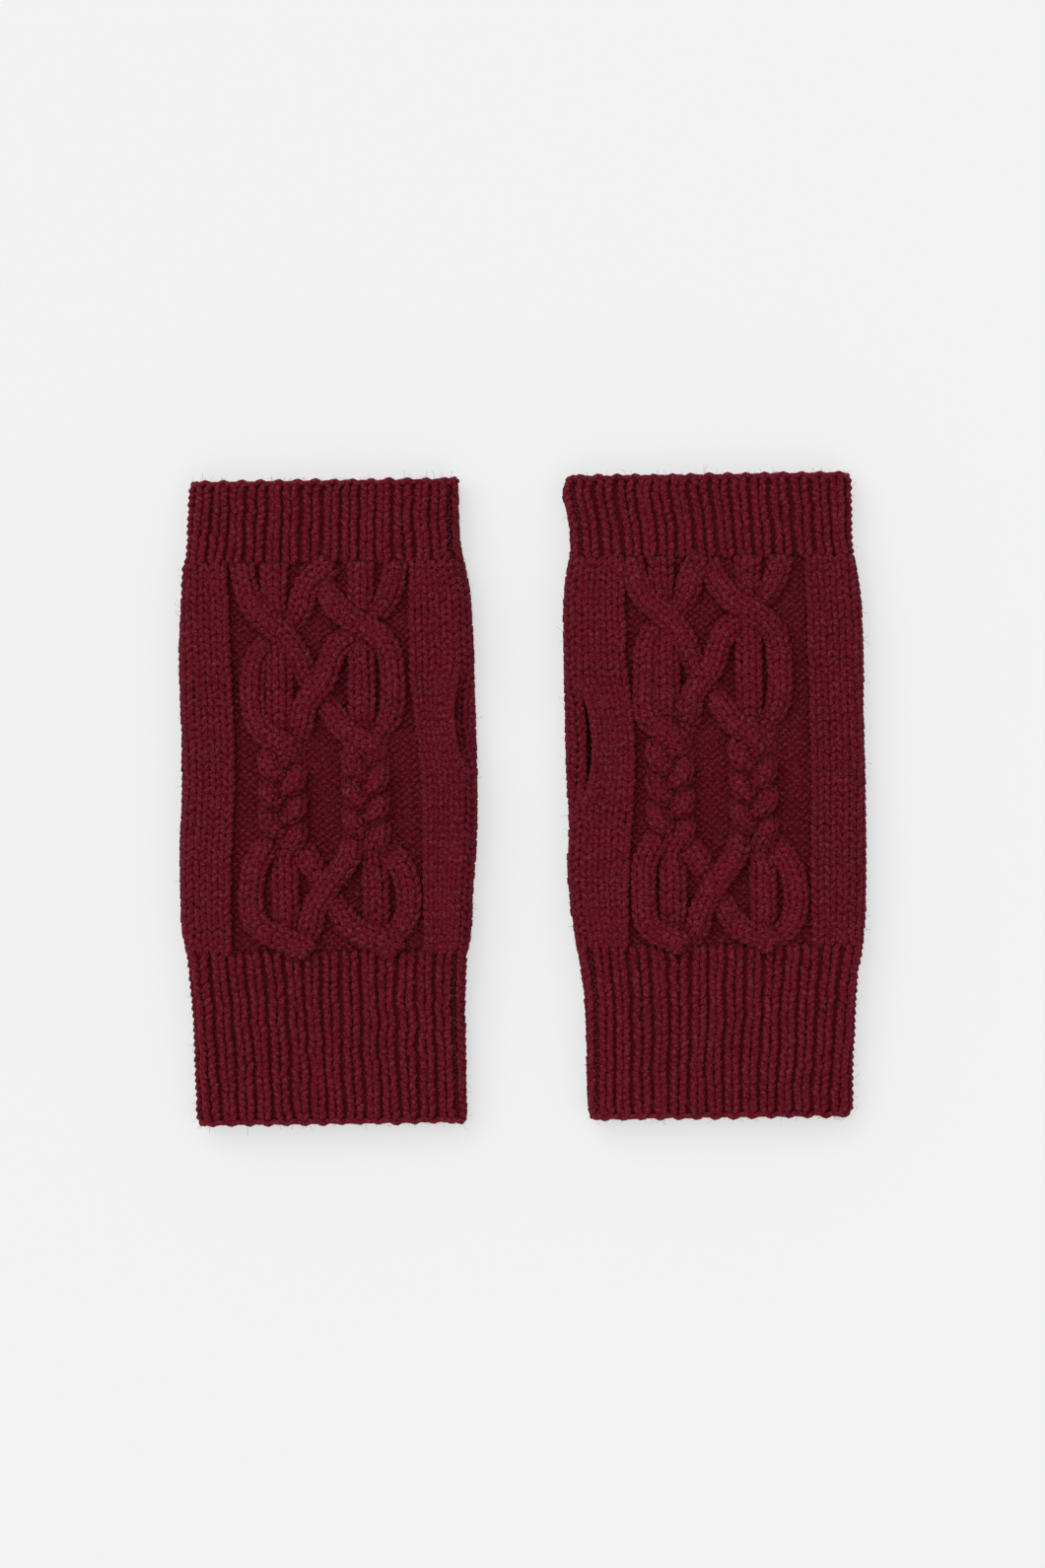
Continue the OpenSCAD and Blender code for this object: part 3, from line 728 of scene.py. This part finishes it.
# Ties a palm piece to the body that it moves with, bakes the transform of the other pieces, hides the CAD
# nodes that a piece stands for and gives it its slot
def tiePiece(glove, piece, part, slot, *stands):
    if part == "palm":
        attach(piece, glove["side"] + "_palm")
    elif part == "back":
        blendBack(glove, piece)
    else:
        blendCuff(piece)
    if stands:
        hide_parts(*[glove["side"] + "_" + name for name in stands])
    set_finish(piece, slot)
    return piece


# The plain knitting: palm, folds and borders

plainSettings = {
    "borderWales": 4, "palmWales": 26, "rows": 49, "topSamples": 12, "palmSamples": 10,
    "topSides": 7, "palmSides": 5, "tuckWales": 2.6, "curlWales": 2, "farthest": 1.2,
    "bowPower": 1.2, "risePower": 3,
}


def plainPlace(glove):
    s = plainSettings
    wales = s["borderWales"] + s["palmWales"]

    def place(u, v, h):
        y = wristY + v
        start = groundEdge(glove, 0, y)
        end = seamPlace(glove, y) - perimeter(glove, y) + glove["slit"]["lip"] * slitShape(glove, y)
        p = start + (end - start) * u / wales
        x, y, z = tubePoint(glove, p, y, h)
        z = z + gloveForm["borderCurl"] * ease(1 - u / s["curlWales"])
        tuck = ease((u - wales + s["tuckWales"]) / s["tuckWales"])
        return x, y, z - glove["slit"]["drop"] * tuck * slitShape(glove, y)

    return place


def thumbBorderPlace(glove, wales):
    s = plainSettings

    def place(u, v, h):
        y = wristY + v
        shape = slitShape(glove, y)
        start = groundEdge(glove, 1, y)
        end = seamPlace(glove, y)
        part = np.clip(u / wales, 0, s["farthest"])
        bow = glove["slit"]["bow"] * shape * part ** s["bowPower"]
        x, y, z = tubePoint(glove, start + (end - start) * u / wales - bow, y, h)
        curl = gloveForm["borderCurl"] * ease(1 - u / s["curlWales"])
        return x, y, z + gloveForm["slitRise"] * part ** s["risePower"] * shape + curl

    return place


def makePalm(glove):
    s = plainSettings
    courses = knitCourses(glove, plainPlace(glove), s["palmWales"], s["rows"], stitches["plain"],
                          s["palmSamples"], drawSeeds["palm"], firstWale=s["borderWales"])
    palm = makeYarnPiece(glove["side"] + "PalmKnit", [courses], "plain", s["palmSides"])
    return tiePiece(glove, palm, "palm", "palm_knit",
                    "palm_panel", "palm_fold", "thumb_side_upper", "thumb_side_lower")


def makeBorders(glove):
    s = plainSettings
    outer = knitCourses(glove, plainPlace(glove), s["borderWales"], s["rows"], stitches["plain"],
                        s["topSamples"], drawSeeds["outerBorder"])
    thumb = knitCourses(glove, thumbBorderPlace(glove, s["borderWales"]), s["borderWales"], s["rows"],
                        stitches["plain"], s["topSamples"], drawSeeds["thumbBorder"])
    pieces = []
    for name, courses, stands in (
            ("OuterBorder", outer, "outer_border"), ("ThumbBorder", thumb, "thumb_border")):
        piece = makeYarnPiece(glove["side"] + name, [courses], "plain", s["topSides"])
        pieces.append(tiePiece(glove, piece, "back", "border_knit", stands))
    return pieces


# The purled ground under the cables

groundSettings = {"wales": 18, "rows": 53, "samples": 10, "sides": 6}


def groundPlace(glove):
    def place(u, v, h):
        y = wristY + v
        start, end = groundEdge(glove, 0, y), groundEdge(glove, 1, y)
        p = start + (end - start) * u / groundSettings["wales"]
        return tubePoint(glove, p, y, h - gloveForm["proudStep"])

    return place


def makeGround(glove):
    s = groundSettings
    courses = knitCourses(glove, groundPlace(glove), s["wales"], s["rows"], stitches["ground"],
                          s["samples"], drawSeeds["ground"])
    ground = makeYarnPiece(glove["side"] + "PurlGround", [courses], "ground", s["sides"])
    return tiePiece(glove, ground, "back", "purl_ground", "back_ground")


# The cables

cableSettings = {
    "columnX": 13.5, "shift": {"left": -1.9, "right": -0.9}, "stretch": {"left": 1.0, "right": 1.05},
    "width": 8.0, "middleWidth": 8.7, "crossWidth": 7.4, "plaitWidth": 6.0, "plaitTop": 13.5,
    "plaitEnd": -13.0, "plaitSwing": 4.7, "plaitPitch": 27.6, "underLift": -2.3, "overLift": 1.3,
    "crown": 2.3, "plaitCrown": 1.3, "plaitLift": 2.0, "plaitGirth": 0.88,
    "tuckLength": 11.0, "samples": 12, "sides": 7, "wales": 2, "plaitPoints": 25,
    "swingPush": 1.25, "overPush": 1.5, "plaitFade": 6.0, "plaitLevel": 0.6, "lineStep": 0.25,
    "lineInset": 0.3, "xWindow": 13, "levelWindow": 11, "aim": 0.6, "past": 1.5,
}
# Routes of the six strands above and below the plaits: (y, column, offset, over or under).
# The columns are -1, 0 for the middle and 1. Over is 1 and under is 0.
upperRoutes = [
    [(77.5, -1, -12.5, 0.6), (70.5, -1, -11.2, 0.6), (63.2, -1, -8.6, 0.8), (58.4, -1, -4.0, 1),
     (54.4, -1, 1, 1), (47.9, -1, 5.4, 0.8), (42.3, -1, 7.8, 0.5), (35, 0, -1.5, 0),
     (28.7, 1, -10.4, 0.6), (22.5, 1, -6, 0.9), (18, 1, 1.0, 1)],
    [(77.5, -1, -2, 0.7), (66, -1, -2, 0.6), (58, -1, -1.2, 0), (50, -1, -0.8, 0.35), (46, -1, -0.6, 0.8),
     (30, -1, -0.6, 0.8), (23, -1, -0.8, 0.1), (18.5, -1, -1.5, 0)],
    [(77.5, 0, 3.5, 0.7), (73.7, 0, -1.5, 0.8), (69.7, -1, 8, 0.7), (64, -1, 6.7, 0.8),
     (60, -1, 4.6, 0.2), (54.4, -1, -1.4, 0), (50.8, -1, -5.6, 0.4), (45.5, -1, -8.6, 0.7),
     (38.3, -1, -9.7, 0.7), (30.3, -1, -9.2, 0.7), (24.6, -1, -7.4, 0.9), (21, -1, -3.4, 1),
     (17.6, -1, 2.2, 1)],
    [(77.5, 0, -1, 0), (71.3, 0, 0.3, 0.3), (65.6, 0, 3.3, 0.6), (60.8, 1, -6.3, 0.9), (56.8, 1, 0.3, 1),
     (53.5, 1, 5.4, 1), (49.5, 1, 7.9, 0.8), (43, 1, 9.1, 0.7), (35, 1, 9.3, 0.7), (28, 1, 8.4, 0.6),
     (22.5, 1, 4.5, 0.1)],
    [(77.5, 1, -0.8, 0.7), (66, 1, -0.8, 0.6), (60, 1, -0.8, 0), (52, 1, -0.9, 0.35), (48, 1, -0.9, 0.8),
     (30, 1, -0.9, 0.8), (23, 1, -0.6, 0.1), (19.5, 1, 0, 0)],
    [(77.5, 1, 11, 0.6), (69.7, 1, 9.2, 0.6), (63.2, 1, 5.9, 0.5), (59.2, 1, 1.8, 0), (54.4, 1, -3.1, 0.4),
     (50.4, 0, 4.7, 0.9), (44.7, 0, 2.2, 1), (40, 0, 0.7, 1), (35, 0, -3.6, 1), (30.3, -1, 7, 1),
     (25, -1, 6.4, 0.8), (21.6, -1, 5.0, 0)],
]
lowerRoutes = [
    [(-18.8, 1, 9.4, 0.7), (-25.2, 1, 12.8, 0.7), (-32.5, 1, 13.6, 0.7), (-38.9, 1, 12.2, 0.6),
     (-43, 1, 8.4, 0.3), (-48.5, 1, 1.5, 0)],
    [(-17.2, -1, -8, 0.7), (-23.6, -1, -10.3, 0.7), (-30, -1, -10.9, 0.7), (-37.3, -1, -10.2, 0.8),
     (-41, -1, -7.6, 1), (-43.5, -1, -2.8, 1), (-45.6, -1, 2.6, 1), (-48.5, -1, 8.4, 0.9)],
    [(-17.2, -1, 7.2, 0.9), (-22.8, -1, 10.7, 0.5), (-28, 0, -0.4, 0), (-34, 0, 3.4, 0.5),
     (-40.3, 1, -5.6, 0.8), (-43.2, 1, -0.8, 1), (-45.2, 1, 4.4, 1), (-48.5, 1, 10.2, 1)],
    [(-19, 1, 2, 0.2), (-22, 1, 2.6, 0.7), (-35.6, 1, 2.9, 0.8), (-41.4, 1, 2.4, 0.1), (-48.5, 1, 0, 0)],
    [(-18, 1, -5.8, 1), (-23.6, 0, 3.6, 1), (-29.2, 0, -0.5, 1), (-34.9, 0, -3.8, 1),
     (-40.5, -1, 8.2, 0.8), (-43.5, -1, 6.6, 0.1), (-48.5, -1, 0, -0.4)],
    [(-19, -1, 0, 0.2), (-22, -1, 0.4, 0.7), (-35.6, -1, 0.6, 0.8), (-41.4, -1, 0.4, 0.1),
     (-48.5, -1, 0, 0)],
]
# Which plait each strand joins, and its place in it in degrees
plaitPlaces = [(1, 322), (-1, 202), (-1, 322), (1, 82), (1, 202), (-1, 82)]
# Which strands run up the middle of the ovals above the plaits and below them
middleAbove, middleBelow = (1, 4), (3, 5)
# Where a strand runs further in on one glove than on the other: (strand, y, how far)
tucks = {"left": [(2, 38, 0.3)], "right": [(2, 38, 2.2), (1, -31, 1.8)]}


def strandRoute(k):
    s = cableSettings
    column, phase = plaitPlaces[k]
    plait = []
    for y in np.linspace(s["plaitTop"], s["plaitEnd"], s["plaitPoints"]):
        angle = 2 * pi * (s["plaitTop"] - y) / s["plaitPitch"] + math.radians(phase)
        swing = math.sin(pi / 2 * max(-1, min(1, s["swingPush"] * math.cos(angle))))
        over = max(-1, min(1, s["overPush"] * math.sin(2 * angle)))
        plait.append((y, column, s["plaitSwing"] * swing, 0.5 + 0.5 * over))
    route = np.array(upperRoutes[k] + plait + lowerRoutes[k], float)
    return route[:, 0], route[:, 1] * s["columnX"] + route[:, 2], route[:, 3]


# The mean over a window of an odd number of values, with the ends carried on
def smoothed(values, window):
    return np.convolve(np.pad(values, window // 2, "edge"), np.ones(window) / window, "valid")


# Strand k in small steps along its way on one glove
def strandLine(glove, k):
    s = cableSettings
    ys, xs, levels = strandRoute(k)
    y = np.arange(wristY + s["lineInset"], knuckleY - s["lineInset"], s["lineStep"])
    flatY = y / s["stretch"][glove["side"]]
    x = throughPoints(flatY, ys, xs) + s["shift"][glove["side"]]
    for strand, tuckY, inward in tucks[glove["side"]]:
        if strand == k:
            x = x + inward * np.exp(-((flatY - tuckY) / s["tuckLength"]) ** 2)
    x = smoothed(x, s["xWindow"])
    level = smoothed(throughPoints(flatY, ys, levels), s["levelWindow"])
    fade = s["plaitFade"]
    inPlait = ease((s["plaitTop"] + fade / 2 - flatY) / fade)
    inPlait = inPlait * ease((flatY - s["plaitEnd"] + fade / 2) / fade)
    middle = np.where(flatY > 0, k in middleAbove, k in middleBelow)
    full = np.where(middle, s["middleWidth"], s["width"])
    crossing = np.clip(np.abs(level - 0.75) / 0.25, 0, 1)
    width = full + (s["crossWidth"] - full) * ease(crossing)
    width = width + (s["plaitWidth"] - width) * inPlait
    run = np.concatenate([[0], np.cumsum(np.hypot(np.diff(x), np.diff(y)))])
    return {"x": x * glove["thumb"], "y": y, "level": level, "width": width, "run": run, "plait": inPlait}


def strandPlace(glove, line):
    s = cableSettings

    def place(u, v, h):
        pick = lambda name, at: np.interp(at, line["run"], line[name])
        x, y = pick("x", v), pick("y", v)
        dx, dy = (pick(way, v + s["aim"]) - pick(way, v - s["aim"]) for way in ("x", "y"))
        length = np.maximum(np.hypot(dx, dy), 1e-6)
        side = u - s["wales"] / 2
        off = side * pick("width", v) / 2
        x, y = x + off * dy / length, y - off * dx / length
        lift = s["underLift"] + (s["overLift"] - s["underLift"]) * pick("level", v)
        lift = lift + s["plaitLift"] * (pick("level", v) - s["plaitLevel"]) * pick("plait", v)
        lift = lift + (s["crown"] + s["plaitCrown"] * pick("plait", v)) * (1 - side * side)
        y = np.clip(y, wristY - s["past"], knuckleY + s["past"])
        return tubePoint(glove, x, y, h + lift)

    return place


def makeCables(glove):
    s = cableSettings
    lines = []
    for k in range(6):
        line = strandLine(glove, k)
        rows = int(line["run"][-1] / stitches["cable"]["rise"])
        stitch = dict(stitches["cable"], rise=line["run"][-1] / rows)
        points, girth, paintedLight = knitCourses(
            glove, strandPlace(glove, line), s["wales"], rows, stitch, s["samples"],
            drawSeeds["cables"] + k)
        inPlait = np.interp((np.arange(rows)[:, None] + 0.5) * stitch["rise"], line["run"], line["plait"])
        lines.append((points, girth * (1 + (s["plaitGirth"] - 1) * inPlait), paintedLight))
    cables = makeYarnPiece(glove["side"] + "Cables", lines, "cable", s["sides"])
    return tiePiece(glove, cables, "back", "cable_knit", "cables")


# The ribbed cuffs and their chain edges

cuffSettings = {
    "wrist": {"rows": 23, "ridges": 30}, "finger": {"rows": 11, "ridges": 30},
    "topRidges": 15, "topSamples": 12, "topSides": 7, "palmSamples": 10, "palmSides": 5,
    "edgeReach": 1.6, "edgeCurl": 0.75, "edgeTurn": 2.6, "linkPitch": 3.0, "scallop": 0.35,
    "edgeSamples": 14, "edgeSides": 7, "wander": 0.085, "wanderStep": 9.0, "wanderDrift": 0.6,
}


def cuffSpan(cuff):
    if cuff == "wrist":
        return gloveForm["edgeBand"] - tipY, wristY
    return knuckleY, tipY - gloveForm["edgeBand"]


# Ribs never run quite straight: some crowd together and leave a deeper groove beside them
def ribPlace(glove, cuff):
    low, high = cuffSpan(cuff)
    ridges = cuffSettings[cuff]["ridges"]
    rng = np.random.default_rng(glove["seed"] * 100 + ridges + len(cuff))
    steps = int((high - low) / cuffSettings["wanderStep"]) + 2
    steady = rng.normal(0, cuffSettings["wander"], (ridges + 1, 1))
    unsteady = cuffSettings["wander"] * cuffSettings["wanderDrift"]
    drift = steady + rng.normal(0, unsteady, (ridges + 1, steps))
    drift[0] = drift[-1] = 0

    def wander(u, v):
        at = np.clip(u, 0, ridges - 1e-6)
        up = np.clip(v / (high - low), 0, 1) * (steps - 1.001)
        i, j = at.astype(int), up.astype(int)
        a, b = at - i, up - j
        near = drift[i, j] * (1 - b) + drift[i, j + 1] * b
        far = drift[i + 1, j] * (1 - b) + drift[i + 1, j + 1] * b
        return near * (1 - a) + far * a

    def place(u, v, h):
        y = low + v
        p = seamPlace(glove, y) - perimeter(glove, y) * (u + wander(u, v)) / ridges
        return tubePoint(glove, p, y, h)

    return place


def makeCuff(glove, cuff):
    s = cuffSettings
    rows, ridges = s[cuff]["rows"], s[cuff]["ridges"]
    low, high = cuffSpan(cuff)
    stitch = dict(stitches["rib"], rise=(high - low) / rows)
    place = ribPlace(glove, cuff)
    top = knitCourses(glove, place, s["topRidges"], rows, stitch, s["topSamples"],
                      drawSeeds["ribBack"])
    palm = knitCourses(glove, place, ridges - s["topRidges"], rows, stitch, s["palmSamples"],
                       drawSeeds["ribPalm"], firstWale=s["topRidges"])
    pieces = []
    for name, courses, sides, stands in (
            ("RibBack", top, s["topSides"], ("rib_back", "fold")),
            ("RibPalm", palm, s["palmSides"], ("rib_palm", "seam_side"))):
        piece = makeYarnPiece(glove["side"] + cuff.capitalize() + name, [courses], "rib", sides)
        pieces.append(tiePiece(glove, piece, cuff, "rib_knit", *[cuff + "_" + n for n in stands]))
    return pieces


# A chain of links that curls over the open end of a cuff
def makeChainEdge(glove, cuff):
    s = cuffSettings
    way = -1 if cuff == "wrist" else 1
    edgeY = way * (tipY - s["edgeReach"])
    links = int(round(float(perimeter(glove, edgeY)) / s["linkPitch"]))
    stitch = dict(stitches["chain"], rise=float(perimeter(glove, edgeY)) / links)

    def place(u, v, h):
        flatY = np.full_like(v, edgeY)
        curl = (u - 0.5) * s["edgeTurn"]
        out = s["edgeCurl"] + h
        scallop = s["scallop"] * np.sin(v * 2 * pi / stitches["rib"]["width"])
        x, y, z = tubePoint(glove, seamPlace(glove, flatY) - v, flatY, out * np.sin(curl))
        return x, y + way * (out * np.cos(curl) + scallop), z

    courses = knitCourses(glove, place, 1, links, stitch, s["edgeSamples"], drawSeeds["chain"])
    name = {"wrist": "CastOnEdge", "finger": "BindOffEdge"}[cuff]
    stands = {"wrist": "cast_on", "finger": "bind_off"}[cuff]
    edge = makeYarnPiece(glove["side"] + name, [courses], "edge", s["edgeSides"])
    return tiePiece(glove, edge, cuff, "edge_yarn", stands + "_back", stands + "_palm")


# The edges of the thumb slit and the seams

slitSettings = {
    "linkPitch": 2.7, "reach": 2.2, "girth": 0.85, "curl": 0.9, "turn": 2.4, "sink": 0.2,
    "endGap": 0.5, "samples": 12, "sides": 6,
}


def makeSlitEdge(glove, layer):
    s, slit = slitSettings, glove["slit"]
    length = slit["top"] - slit["end"] - 2 * s["endGap"]
    links = int(round(length / s["linkPitch"]))
    stitch = dict(stitches["chain"], rise=length / links, reach=s["reach"], girth=s["girth"])
    if layer == "back":
        way, bow, rise = 1, -slit["bow"], gloveForm["slitRise"]
    else:
        way, bow, rise = -1, slit["lip"], -slit["drop"]

    def place(u, v, h):
        y = slit["end"] + s["endGap"] + v
        curl = (u - 0.5) * s["turn"]
        out = s["curl"] + h
        shape = slitShape(glove, y)
        p = seamPlace(glove, y) + bow * shape + way * (out * np.cos(curl) - s["curl"])
        x, y, z = tubePoint(glove, p, y, out * np.sin(curl) - s["sink"])
        return x, y, z + rise * shape

    seed = drawSeeds["slit" + layer.capitalize()]
    courses = knitCourses(glove, place, 1, links, stitch, s["samples"], seed)
    name = glove["side"] + "SlitEdge" + layer.capitalize()
    edge = makeYarnPiece(name, [courses], "edge", s["sides"])
    return tiePiece(glove, edge, layer, "edge_yarn", "slit_edge_" + layer)


# The seam yarn gets a low, fixed painted light level: painted shade for the groove it lies in
seamSettings = {
    "pitch": 2.5, "width": 1.1, "girth": 0.55, "sink": 0.15, "height": 0.55, "slant": 0.35,
    "paintedLight": 0.35, "samples": 8, "sides": 6, "overlap": 0.5,
}


# Sewing yarn that laces the two sides together in the groove between them
def seamLine(glove, fromY, toY):
    s = seamSettings
    count = int((toY - fromY) / s["pitch"]) * s["samples"]
    y = np.linspace(fromY, toY, count)
    phase = 2 * pi * (y - fromY) / s["pitch"]
    p = seamPlace(glove, y) + s["width"] * np.sin(phase)
    h = s["height"] * np.cos(2 * phase) - s["sink"]
    x, y, z = tubePoint(glove, p, y + s["slant"] * np.sin(2 * phase), h)
    return toWorld(glove, x, y, z)[None], np.full(count, s["girth"]), np.full(count, s["paintedLight"])


def makeSeams(glove):
    s, slit = seamSettings, glove["slit"]
    pieces = []
    for name, part, fromY, toY, stands in (
            ("SeamUpper", "palm", slit["top"] - s["overlap"], knuckleY, "seam_upper"),
            ("SeamLower", "palm", wristY, slit["end"] + s["overlap"], "seam_lower"),
            ("WristSeam", "wrist", *cuffSpan("wrist"), "wrist_seam"),
            ("FingerSeam", "finger", *cuffSpan("finger"), "finger_seam")):
        line = seamLine(glove, fromY, toY)
        piece = makeYarnPiece(glove["side"] + name, [line], "seam", s["sides"])
        pieces.append(tiePiece(glove, piece, part, "seam_yarn", stands))
    return pieces


# The felted cloth behind the stitches

backingSettings = {
    "thickness": 0.7, "step": 2.0, "backWidth": 88.0, "palmStart": 2.0, "palmInset": 0.4,
    "palmSink": 0.25, "tuckFrom": 0.91, "backStart": 2.4, "backInset": 0.4, "backSink": 0.9,
    "cuffGap": 0.4, "cuffSink": 0.45,
}


# A thin closed sheet over a grid: place(a, b, h) with a and b from 0 to 1
def makeBacking(glove, name, place, width, length):
    s = backingSettings
    columns, rows = max(2, int(width / s["step"])), max(2, int(length / s["step"]))
    a, b = np.meshgrid(np.linspace(0, 1, columns + 1), np.linspace(0, 1, rows + 1))
    layers = []
    for h in (s["thickness"] / 2, -s["thickness"] / 2):
        x, y, z = place(a, b, h)
        layers.append(toWorld(glove, x, y, z).reshape(-1, 3))
    count = (columns + 1) * (rows + 1)
    grid = np.arange(count).reshape(rows + 1, columns + 1)
    quads = np.stack([grid[:-1, :-1], grid[:-1, 1:], grid[1:, 1:], grid[1:, :-1]], -1).reshape(-1, 4)
    rim = np.concatenate([grid[0, :], grid[1:, -1], grid[-1, -2::-1], grid[-2:0:-1, 0]])
    after = np.roll(rim, -1)
    walls = np.stack([rim, rim + count, after + count, after], -1)
    faces = np.concatenate([quads, quads[:, ::-1] + count, walls])
    if glove["thumb"] > 0:
        faces = faces[:, ::-1]
    mesh = bpy.data.meshes.new(name)
    mesh.from_pydata(np.concatenate(layers).tolist(), [], faces.tolist())
    mesh.polygons.foreach_set("use_smooth", np.ones(len(mesh.polygons), bool))
    mesh.materials.append(materials["felt"])
    piece = newObject(glove["side"] + name, mesh)
    addExportMap(mesh)
    return piece


# The flat size of a sheet is its width round the tube and its length along it, before it is bent
def makeBackings(glove):
    s = backingSettings
    handLength = knuckleY - wristY
    slit = glove["slit"]

    def palmPlace(a, b, h):
        y = wristY + b * handLength
        shape = slitShape(glove, y)
        start = s["palmStart"] - halfWidth(glove, 0, y)
        end = seamPlace(glove, y) - perimeter(glove, y) + s["palmInset"] + slit["lip"] * shape
        x, y, z = tubePoint(glove, start + (end - start) * a, y, h - s["palmSink"])
        return x, y, z - slit["drop"] * ease((a - s["tuckFrom"]) / (1 - s["tuckFrom"])) * shape

    def backPlace(a, b, h):
        y = wristY + b * handLength
        start = s["backStart"] - halfWidth(glove, 0, y)
        end = seamPlace(glove, y) - slit["bow"] * slitShape(glove, y) - s["backInset"]
        return tubePoint(glove, end + (start - end) * a, y, h - s["backSink"])

    palmWidth = float(perimeter(glove, 0.0)) - s["backWidth"]
    palm = makeBacking(glove, "PalmCloth", palmPlace, palmWidth, handLength)
    tiePiece(glove, palm, "palm", "palm_knit")
    back = makeBacking(glove, "BackCloth", backPlace, s["backWidth"], handLength)
    tiePiece(glove, back, "back", "purl_ground")
    for cuff in ("wrist", "finger"):
        low, high = cuffSpan(cuff)

        def cuffPlace(a, b, h):
            y = low + b * (high - low)
            p = seamPlace(glove, y) - s["cuffGap"] / 2 - (perimeter(glove, y) - s["cuffGap"]) * a
            return tubePoint(glove, p, y, h - s["cuffSink"])

        around = float(perimeter(glove, (low + high) / 2))
        cloth = makeBacking(glove, cuff.capitalize() + "Cloth", cuffPlace, around, high - low)
        tiePiece(glove, cloth, cuff, "rib_knit")


# Loose fibres

fuzzSettings = {"density": 0.085e6, "underShare": 0.4, "length": 0.0021, "thickness": 0.000035}


# Fibres for one knitted piece: few on the pieces that lie underneath, where they point down
def makeFuzz(glove, base, seed):
    s = fuzzSettings
    under = "Palm" in base.name
    mesh = base.data.copy()
    mesh.materials.clear()
    for layer in list(mesh.uv_layers):
        mesh.uv_layers.remove(layer)
    piece = newObject(base.name + "Fibres", mesh)
    runTree(piece, fuzzTree, {
        "Density": s["density"] * (s["underShare"] if under else 1.0),
        "Facing": -1.0 if under else 1.0, "Seed": glove["seed"] + seed, "Length": s["length"],
        "Thickness": s["thickness"], "Wool": materials["fuzz"]})
    bpy.data.meshes.remove(mesh)
    restOnTable(piece.data)
    addExportMap(piece.data)
    return piece


def makeOneGlove(side):
    glove = makeGlove(side)
    knits = {
        "palm": [makePalm(glove)],
        "back": makeBorders(glove) + [makeGround(glove), makeCables(glove)],
    }
    print("stage:", side, "hand")
    for cuff in ("wrist", "finger"):
        knits[cuff] = makeCuff(glove, cuff) + [makeChainEdge(glove, cuff)]
    print("stage:", side, "cuffs")
    knits["palm"].append(makeSlitEdge(glove, "palm"))
    knits["back"].append(makeSlitEdge(glove, "back"))
    seams = makeSeams(glove)
    knits["palm"] += seams[:2]
    knits["wrist"].append(seams[2])
    knits["finger"].append(seams[3])
    print("stage:", side, "slit edges and seams")
    for group, seed in (("palm", 100), ("back", 200), ("wrist", 300), ("finger", 400)):
        fuzzes = []
        for i, base in enumerate(knits[group]):
            if "Seam" not in base.name:
                fuzz = makeFuzz(glove, base, seed + i)
                fuzzes.append(tiePiece(glove, fuzz, group, base["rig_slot"]))
        knits[group] += fuzzes
    print("stage:", side, "loose fibres")
    makeBackings(glove)
    print("stage:", side, "backing cloth")


for side in ("left", "right"):
    makeOneGlove(side)

sizes = {o.name: len(o.data.loops) - 2 * len(o.data.polygons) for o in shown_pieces()}
print("triangles:", sum(sizes.values()), "largest:", max(sizes.items(), key=lambda f: f[1]))
